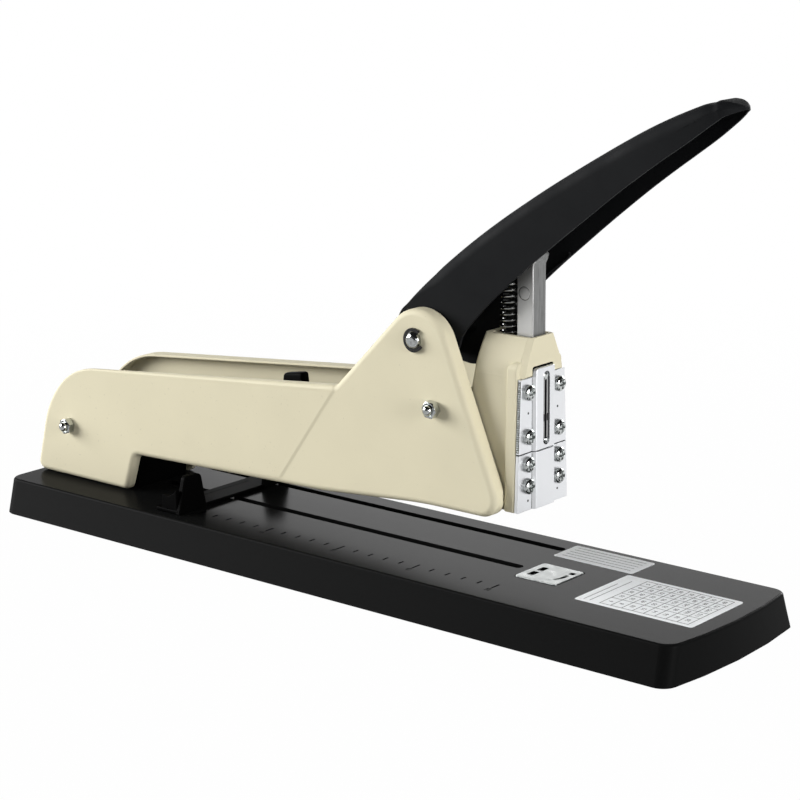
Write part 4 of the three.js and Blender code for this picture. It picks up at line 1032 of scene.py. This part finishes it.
def coil(wire):
    """The return spring's wire: a circle's turns that rise evenly, and at half that pace over the first and
    the last turn and a third."""
    turns = np.linspace(0, 1, SPRING_LAPS * 36 + 1)
    angle = turns * SPRING_LAPS * 2 * np.pi
    ends, slow = 0.09, 0.55
    steep = (1 - 2 * ends * slow) / (1 - 2 * ends)
    rise = np.where(turns < ends, turns * slow, np.where(turns > 1 - ends, 1 - (1 - turns) * slow,
                                                         ends * slow + (turns - ends) * steep))
    z = SPRING_LOW + wire + rise * (SPRING_HIGH - SPRING_LOW - 2 * wire)
    path = (SPRING_X + SPRING_MEAN * np.cos(angle), SPRING_MEAN * np.sin(angle), z)
    return swept(np.stack(path, 1), wire, 14)


class STAPLER_OT_ram(bpy.types.Operator):
    """Adds the ram, its cross pin and its return spring"""

    bl_idname = "stapler.ram"
    bl_label = "Ram and spring"

    def execute(self, context):
        bar = add_mesh("ram_bar", ram_bar(), "bar_steel", "ram", ["ram"])
        # The ram's front and back faces take the darker copy of its steel: painted shade.
        refinish(bar, "ram_face_painted_shade", lambda normal, centre: abs(normal.x) > 0.9)
        pin = turned(mirrored([(0, 5.55), (2.7, 5.53), (3.05, 5.45), (3.2, 5.3)]), 48, "y", (106.8, 0, 160.2))
        add_mesh("ram_cross_pin", pin, "bar_steel", "ram", ["ram_pin"])
        # A dark ring just wider than the pin paints the shade round it.
        gap = turned(mirrored([(0, 5.34), (3.3, 5.34), (3.45, 5.27)]), 48, "y", (106.72, 0, 160.1))
        add_mesh("ram_pin_shade_ring", gap, "print_and_shade_black", "ram")
        wire = coil(context.scene.stapler_sizes.spring_wire / MM)
        spring = add_mesh("return_spring", wire, "coil_steel", "arm", ["ram_spring"])
        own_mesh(spring)
        return {"FINISHED"}


# Bolts, nuts and the handle pin

CLIP_OUTER, CLIP_INNER, CLIP_TURN = 6.1, 4.4, (0.144, 0.916)


def hex_nut(at, turn):
    """A hexagon nut on the near cover: each corner is drawn down by a cone that starts at the flats, as a
    washer face leaves it. The rim's radius is the half width over the cosine of the turn from the flat's
    middle."""
    flats, low, high = 4.0, 28.02, 32.3
    angle = lap(96)
    rim = flats / np.cos((angle + turn + np.pi / 6) % (np.pi / 3) - np.pi / 6)
    drop = (rim - flats * 0.97) * 0.5
    rows = [(rim - 0.25, low), (rim, low + 0.25), (rim, high - drop - 0.1), (rim - 0.12, high - drop + 0.02),
            (flats * 0.95, high), (3.15, high), (2.75, high - 0.45)]
    return loft([np.stack(np.broadcast_arrays(at[0] + r * np.cos(angle), -y, at[1] + r * np.sin(angle)), 1)
                 for r, y in rows])


def snap_ring(side):
    """A spring clip: a ring that is open towards the head, carried from the cover outwards with its edges
    broken."""
    turn = 2 * np.pi * np.linspace(*CLIP_TURN, 41)
    arc = np.stack((np.cos(turn), np.sin(turn)), 1)
    rings = []
    for grow, y in ((0.15, 28.02), (0.0, 28.2), (0.0, 29.1), (0.2, 29.3)):
        loop = np.concatenate((arc * (CLIP_OUTER - grow), arc[::-1] * (CLIP_INNER + grow)))
        rings.append(placed(loop + HANDLE_PIN, "y", side * y))
    return loft(rings)


class STAPLER_OT_fasteners(bpy.types.Operator):
    """Adds the bolts, their nuts, the handle pin and its clips"""

    bl_idname = "stapler.fasteners"
    bl_label = "Bolts and pin"

    def execute(self, context):
        shank = [(0, -35.0), (0.9, -34.93), (1.6, -34.65), (2.15, -34.15), (2.5, -33.4), (2.62, -32.6),
                 (2.62, 27.9), (3.9, 28.0), (4.0, 28.2), (4.0, 30.4), (3.6, 31.2), (2.4, 31.62), (0, 31.7)]
        cap = [(0, -31.1), (1.9, -31.06), (2.6, -30.9), (3.3, -30.5), (3.8, -29.95), (4.05, -29.3),
               (4.1, -28.6)]
        rows = []
        for name, at, turn in (("rear", REAR_BOLT, 0.2), ("front", FRONT_BOLT, 0.62)):
            bolt = turned(shank, 40, "y", (at[0], 0, at[1]))
            rows.append((f"cross_bolt_{name}", bolt, f"{name}_bolt", 35))
            rows.append((f"hex_nut_{name}", hex_nut(at, turn), f"{name}_nut", 25))
        pin = turned(mirrored(cap), 56, "y", (HANDLE_PIN[0], 0, HANDLE_PIN[1]))
        rows.append(("lever_pin", pin, "handle_pin", 35))
        for name, shape, node, smooth in rows:
            add_mesh(name, shape, "screw_zinc", "frame", [node], smooth)
        for side, name in SIDES:
            add_mesh(f"snap_ring_{name}", snap_ring(side), "clip_black_and_shade", "frame",
                     [f"pin_clip_{name}"])
        return {"FINISHED"}


# Bed fittings

RULER_ZERO, CENTIMETRE = -90.2, 10.0
RULED_PITCH = 6.2


def anvil():
    """The anvil plate: a rounded plate pierced by two clinch pockets, a crescent and a square hole, each
    with a floor. The pockets' floors and the crescent's rise from deep at one end to the plate's top at the
    other. Dark plates under the plate, in the pockets' deep ends and in the square hole paint their shade."""
    turn = np.linspace(-0.34, 0.1, 15) * np.pi
    arc = np.stack((np.cos(turn), np.sin(turn)), 1)
    width = np.sin(np.linspace(0.12, 1, 15) * np.pi * 0.62)[:, None] * 2.1
    crescent = np.concatenate((arc * 10.6, (arc * (10.6 - width))[::-1])) + [11.6, 0.2]
    holes = [box_loop(3.6, 7.2, y - 3.1, y + 3.1, 0.5, 3) for y in (-4.4, 3.6)]
    holes += [crescent, box_loop(19.8, 23.0, 4.9, 8.1, 0.4, 3)]
    plate = slab(box_corners(0, 24.8, -12.6, 12.2, 1.8), "z", 18.9, 20.4, 0.3, 3, 8, holes)
    floors = []
    for hole in holes[:3]:
        fall = risen(hole[:, 1], hole[:, 1].min(), hole[:, 1].max())
        points, faces = lid(hole, "z", 20.3)
        points[:, 2] -= 1.3 * fall
        floors.append((points, faces))
    # painted shade: dark plates under the anvil and in its holes' deep ends
    dark = [slab(box_corners(0.4, 24.4, -12.2, 11.8, 1.5), "z", 18.25, 18.95, 0.05, 1, 6)]
    dark += [slab(box_corners(x0, x1, y0, y1, 0.3), "z", 18.9, 20.33, 0.05, 1, 3)
             for x0, x1, y0, y1 in ((3.7, 7.1, -4.3, -1.4), (3.7, 7.1, 3.7, 6.6), (19.9, 22.9, 5.0, 8.0))]
    return [moved(shape, (107.2, -0.7, 0)) for shape in (plate, gather(*floors), gather(*dark))]


def ruled(lines, low, high, width):
    """Thin raised lines: each a flat box about its two ends, between two heights."""
    ends = np.asarray(lines, float)
    along = unit(ends[:, 2:] - ends[:, :2])
    side = np.stack((-along[:, 1], along[:, 0]), 1) * width / 2
    flat = np.stack((ends[:, :2] - side, ends[:, 2:] - side, ends[:, 2:] + side, ends[:, :2] + side), 1)
    points = np.concatenate([np.dstack((flat, np.full(flat.shape[:2], z))) for z in (low, high)], 1)
    box = np.array([[0, 3, 2, 1], [4, 5, 6, 7], [0, 1, 5, 4], [1, 2, 6, 5], [2, 3, 7, 6], [3, 0, 4, 7]])
    faces = (box[None] + 8 * np.arange(len(ends))[:, None, None]).reshape(-1, 4)
    return points.reshape(-1, 3), faces.tolist()


def ruler():
    """Printed marks on the deck, as thin plates a centimetre apart: every fifth is longer."""
    lines = []
    for number in range(21):
        x = RULER_ZERO + number * CENTIMETRE
        near, far = (-33.7, -29.7) if number % 5 else (-34.9, -28.8)
        lines.append((x, near, x, far))
    return ruled(lines, DECK - 0.05, DECK + 0.05, 0.9)


def lettered(name, entries, size, height, finish):
    """Numbers as one thin raised mesh at a height on the base. Each entry is a text with the x and y of its
    middle, and it reads across the base."""
    shell = bmesh.new()
    curve = bpy.data.curves.new(name, "FONT")
    curve.size = size * MM
    curve.extrude = 0.05 * MM
    curve.align_x = "CENTER"
    curve.align_y = "CENTER"
    curve.resolution_u = 2
    holder = add_object(name + "_curve", curve)
    for text, x, y in entries:
        curve.body = text
        bpy.context.view_layer.update()
        mesh = bpy.data.meshes.new_from_object(holder.evaluated_get(bpy.context.evaluated_depsgraph_get()))
        place = Vector((x, y, height)) * MM
        mesh.transform(Matrix.Translation(place) @ Matrix.Rotation(math.pi / 2, 4, "Z"))
        shell.from_mesh(mesh)
        bpy.data.meshes.remove(mesh)
    bpy.data.objects.remove(holder)
    bpy.data.curves.remove(curve)
    mesh = bpy.data.meshes.new(name)
    shell.to_mesh(mesh)
    shell.free()
    add_piece(name, mesh, finish, "frame")


def sticker_print():
    """The ruled lines of both stickers, and the numbers in the large one's boxes, which rise evenly from row
    to row."""
    rows = [163.5 + RULED_PITCH * step for step in range(9)]
    lines = [(106, y, 147.5, y) for y in (28.5, 32.0, 35.5, 39.0, 42.5)]
    lines += [(x, -20.5, x, 19.6) for x in rows]
    lines += [(rows[0], y, rows[-1], y) for y in (-20.5, -10.5, -2.5, 5.5, 12.5, 19.6)]
    lines += [(154.2, -20.5, 154.2, 8.0), (157.6, -20.5, 157.6, 15.0)]
    columns = ((-15.5, 6, 2), (-6.5, 10, 15), (1.5, 20, 25), (9.0, 8, 12), (16.0, 5, 5))
    numbers = [(str(first + step * row), 166.6 + RULED_PITCH * row, y)
               for row in range(8) for y, first, step in columns]
    return lines, numbers


class STAPLER_OT_bed(bpy.types.Operator):
    """Adds the anvil, the printed ruler and the two plain stickers"""

    bl_idname = "stapler.bed"
    bl_label = "Anvil, ruler and stickers"

    def execute(self, context):
        plate, scoops, pocket_shade = anvil()
        add_mesh("anvil_block", plate, "anvil_zinc", "frame", ["anvil_plate"])
        add_mesh("anvil_scoops", scoops, "pin_steel", "frame", outward=False)
        add_mesh("anvil_painted_shade", pocket_shade, "print_and_shade_black", "frame")
        add_mesh("ruler_marks", ruler(), "print_and_shade_black", "frame")
        entries = [(str(number), RULER_ZERO + number * CENTIMETRE, -37.6) for number in (5, 10, 15, 20)]
        lettered("ruler_numbers", entries, 3.9, DECK, "print_and_shade_black")
        for name, box in (("small", (102.7, 150.9, 24.7, 45.9)), ("large", (150.3, 216.8, -23.3, 22.4))):
            sheet = slab(box_corners(*box, 1.5), "z", DECK - 0.05, DECK + 0.12, 0.05, 1, 5)
            add_mesh(f"sticker_{name}", sheet, "sticker_paper", "frame")
        lines, numbers = sticker_print()
        add_mesh("sticker_lines", ruled(lines, DECK + 0.11, DECK + 0.16, 0.32), "print_grey", "frame")
        lettered("sticker_numbers", numbers, 3.2, DECK + 0.11, "print_grey")
        return {"FINISHED"}


# Pusher knob and paper guide

GUIDE_FOOT = 20.4
KNOB_AT, KNOB_HEIGHT = (-48.4, 0, 66.1), 33.2


def guide_ear(side):
    """An ear of the paper guide: its outline across the base, carried along a short way over rounded
    edges."""
    outer, reach = 44.0, 20.6
    corners = [(outer, 0, 0.2), (outer - 5.2, reach, 3), (outer - 17.4, reach - 0.8, 3),
               (outer - 21.4, 0, 0.2)]
    points, faces = slab(corners, "x", -98.2, -95.3, 0.5, 3, 5)
    return points * [1, side, 1] + [0, 0, GUIDE_FOOT], faces


def guide_gusset(side):
    """The low rib behind an ear: an outline along the base, with a hollow in its top and a notch below."""
    corners = [(-109.2, 0.2, 0.2), (-105.8, 0.2, 0.2), (-105.2, 2.2, 0.4), (-99.6, 1.6, 0.4),
               (-99.2, 0.2, 0.2), (-97.6, 0.2, 0.2), (-97.6, 13.5, 0.3), (-99.4, 11.4, 2),
               (-103.5, 9.0, 4), (-108.2, 9.6, 0.8)]
    points, faces = slab(corners, "y", -43.6, -41.2, 0.4, 2, 4)
    return points * [1, -side, 1] + [0, 0, GUIDE_FOOT], faces


def knob():
    """The pusher's knob: rounded plans at rising heights, from a broad foot to a thin fin whose top slopes
    down to the rear."""
    rows = np.array([[0, 10.2, 7.3], [1.8, 10.2, 7.3], [2.4, 9.4, 6.4], [6, 8.1, 4.6], [16, 7.6, 3.9],
                     [27, 7.4, 3.3], [31.5, 7.2, 3.0], [32.6, 6.9, 2.6], [KNOB_HEIGHT, 6.2, 1.9]])
    rings = []
    for z, long, half in rows:
        ring = placed(box_loop(-long, long, -half, half, min(1.8, half * 0.8), 6), "z", z)
        ring[:, 2] -= (z / KNOB_HEIGHT) ** 6 * (7.4 - ring[:, 0]) * 0.17
        rings.append(ring + KNOB_AT)
    return loft(rings)


class STAPLER_OT_plastics(bpy.types.Operator):
    """Adds the paper guide and the pusher's knob"""

    bl_idname = "stapler.plastics"
    bl_label = "Paper guide and knob"

    def execute(self, context):
        bar = slab(box_corners(-113.4, -96.2, -43.8, 43.8, 0.8), "z", 20.35, 22.3, 0.5, 3, 5)
        groove = slab(box_corners(-109.4, -108.0, -24, 24, 0.6), "z", 22.25, 22.42, 0.1, 1, 3)
        guide = gather(bar, groove, guide_ear(-1), guide_ear(1), guide_gusset(-1), guide_gusset(1))
        # The guide and the knob take the near-black moulding, which paints their shade.
        add_mesh("guide_moulding", guide, "painted_shade_moulding", "guide", ["guide_body"])
        add_mesh("knob_fin", knob(), "painted_shade_moulding", "pusher", ["pusher_knob"])
        return {"FINISHED"}


# Studio: each lamp's name, place, size and power

LAMPS = (
    ("key", (-2.65, -1.5, 1.0), (2.3, 1.7), 178),
    ("side", (2.1, -0.25, 0.55), (0.9, 1.0), 40),
    ("front", (1.35, -1.5, 0.6), (0.4, 0.4), 2),
    ("back", (0.2, 2.4, 0.8), (1.1, 0.9), 22),
)
LAMPS_AIM = Vector((0.02, 0, 0.09))
FLOOR_REACH = 6.0


def product(tree, one, other):
    """Two values multiplied."""
    return wired(tree, "ShaderNodeMath", {0: one, 1: other}, operation="MULTIPLY").outputs[0]


def by_ray(tree, matt, gloss, plain, share):
    """One shader for the rays off a gloss and another for the rest, with a third over both, by a share, for
    the rays from the camera or through a clear body."""
    ray = wired(tree, "ShaderNodeLightPath").outputs
    seen = wired(tree, "ShaderNodeMath", {0: ray["Is Camera Ray"], 1: ray["Is Transmission Ray"]},
                 operation="MAXIMUM").outputs[0]
    lit = wired(tree, "ShaderNodeMixShader", {0: ray["Is Glossy Ray"], 1: matt, 2: gloss}).outputs[0]
    veil = product(tree, seen, share)
    return wired(tree, "ShaderNodeMixShader", {0: veil, 1: lit, 2: plain}).outputs[0]


def floor_paper():
    """White paper: near the stapler it takes a faint soft shadow, further out it is plain white to the
    camera, and to gloss it glows brighter behind the stapler."""
    material = shader("floor_paper", (0.3, 0.3, 0.3), 1.0, 0.0, 0.0)
    tree = material.node_tree
    glow = ramp_along(tree, own_place(tree), (0.3, 0.95, 0), -0.15, 0.25, 0.6, 1.0)
    grey = wired(tree, "ShaderNodeEmission", {"Strength": glow}).outputs[0]
    white = wired(tree, "ShaderNodeEmission").outputs[0]
    away = wired(tree, "ShaderNodeVectorMath", {0: own_place(tree)}, operation="LENGTH").outputs["Value"]
    surface = by_ray(tree, principled(material).outputs[0], grey, white, spread(tree, away, 0.3, 0.8, 0.99))
    tree.links.new(surface, tree.nodes["Material Output"].inputs["Surface"])
    return material


def studio_air():
    """The room: plain white to the camera, an even soft light on matt surfaces, and to gloss a white sweep
    behind the stapler that falls off towards the dim side of the room."""
    world = bpy.data.worlds.new("studio")
    world.use_nodes = True
    tree = world.node_tree
    soft = tree.nodes["Background"]
    soft.inputs["Color"].default_value = (1, 1, 1, 1)
    soft.inputs["Strength"].default_value = 0.09
    way = wired(tree, "ShaderNodeTexCoord").outputs["Generated"]
    behind = ramp_along(tree, way, (-0.5, 0.86, 0), 0.35, 0.8, 0.05, 1.0)
    low = ramp_along(tree, way, (0, 0, 1), 0.27, 0.40, 4.5, 0.4)
    band = ramp_along(tree, way, (0, 0, 1), 0.17, 0.28, 0.1, 1.0)
    glow = product(tree, product(tree, behind, low), band)
    sweep = wired(tree, "ShaderNodeBackground", {"Strength": glow})
    white = wired(tree, "ShaderNodeBackground", {"Color": (1, 1, 1, 1)})
    surface = by_ray(tree, soft.outputs[0], sweep.outputs[0], white.outputs[0], 1.0)
    tree.links.new(surface, tree.nodes["World Output"].inputs["Surface"])
    return world


class STAPLER_OT_stage(bpy.types.Operator):
    """Makes the camera, the lamps and the floor"""

    bl_idname = "stapler.stage"
    bl_label = "Stage"

    def execute(self, context):
        look = context.scene.stapler_stage
        data = bpy.data.cameras.new("camera")
        data.lens = look.lens
        data.clip_end = 20
        camera = add_object("camera", data)
        camera.matrix_world = (
            Matrix.Translation(Vector(look.place))
            @ Matrix.Rotation(look.azimuth, 4, "Z")
            @ Matrix.Rotation(math.pi / 2 - look.elevation, 4, "X")
            @ Matrix.Rotation(look.roll, 4, "Z"))
        context.scene.camera = camera
        floor = bpy.data.meshes.new("floor")
        corners = box_corners(-FLOOR_REACH, FLOOR_REACH, -FLOOR_REACH, FLOOR_REACH)
        floor.from_pydata(corners, [], [(0, 1, 2, 3)])
        floor.materials.append(floor_paper())
        ground = add_object("floor", floor)
        for name, place, size, power in LAMPS:
            lamp = bpy.data.lights.new(name, "AREA")
            lamp.shape = "RECTANGLE"
            lamp.size, lamp.size_y = size
            lamp.energy = power
            holder = add_object(name, lamp)
            facing = (LAMPS_AIM - Vector(place)).to_track_quat("-Z", "Y")
            holder.matrix_world = Matrix.Translation(place) @ facing.to_matrix().to_4x4()
        context.scene.world = studio_air()
        context.scene.view_settings.view_transform = "Standard"
        return {"FINISHED"}


class STAPLER_PT_panel(bpy.types.Panel):
    """Lists the steps that dress the stapler"""

    bl_label = "Stapler"
    bl_idname = "STAPLER_PT_panel"
    bl_space_type = "VIEW_3D"
    bl_region_type = "UI"
    bl_category = "Stapler"

    def draw(self, context):
        for step in STEPS:
            self.layout.operator(step.bl_idname)


STEPS = (STAPLER_OT_finishes, STAPLER_OT_base, STAPLER_OT_bed, STAPLER_OT_covers, STAPLER_OT_handle,
         STAPLER_OT_head, STAPLER_OT_plates, STAPLER_OT_ram, STAPLER_OT_fasteners, STAPLER_OT_plastics,
         STAPLER_OT_stage)
GROUPS = {"stapler_finishes": StaplerFinishes, "stapler_sizes": StaplerSizes, "stapler_stage": StaplerStage}
CLASSES = (*GROUPS.values(), *STEPS, STAPLER_PT_panel)


def register():
    for kind in CLASSES:
        bpy.utils.register_class(kind)
    for name, group in GROUPS.items():
        setattr(bpy.types.Scene, name, bpy.props.PointerProperty(type=group))


def unregister():
    for name in GROUPS:
        delattr(bpy.types.Scene, name)
    for kind in reversed(CLASSES):
        bpy.utils.unregister_class(kind)


def main():
    """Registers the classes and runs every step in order."""
    register()
    bpy.ops.stapler.finishes()
    bpy.ops.stapler.base()
    bpy.ops.stapler.bed()
    bpy.ops.stapler.covers()
    bpy.ops.stapler.handle()
    bpy.ops.stapler.head()
    bpy.ops.stapler.plates()
    bpy.ops.stapler.ram()
    bpy.ops.stapler.fasteners()
    bpy.ops.stapler.plastics()
    bpy.ops.stapler.stage()


if __name__ == "__main__":
    main()
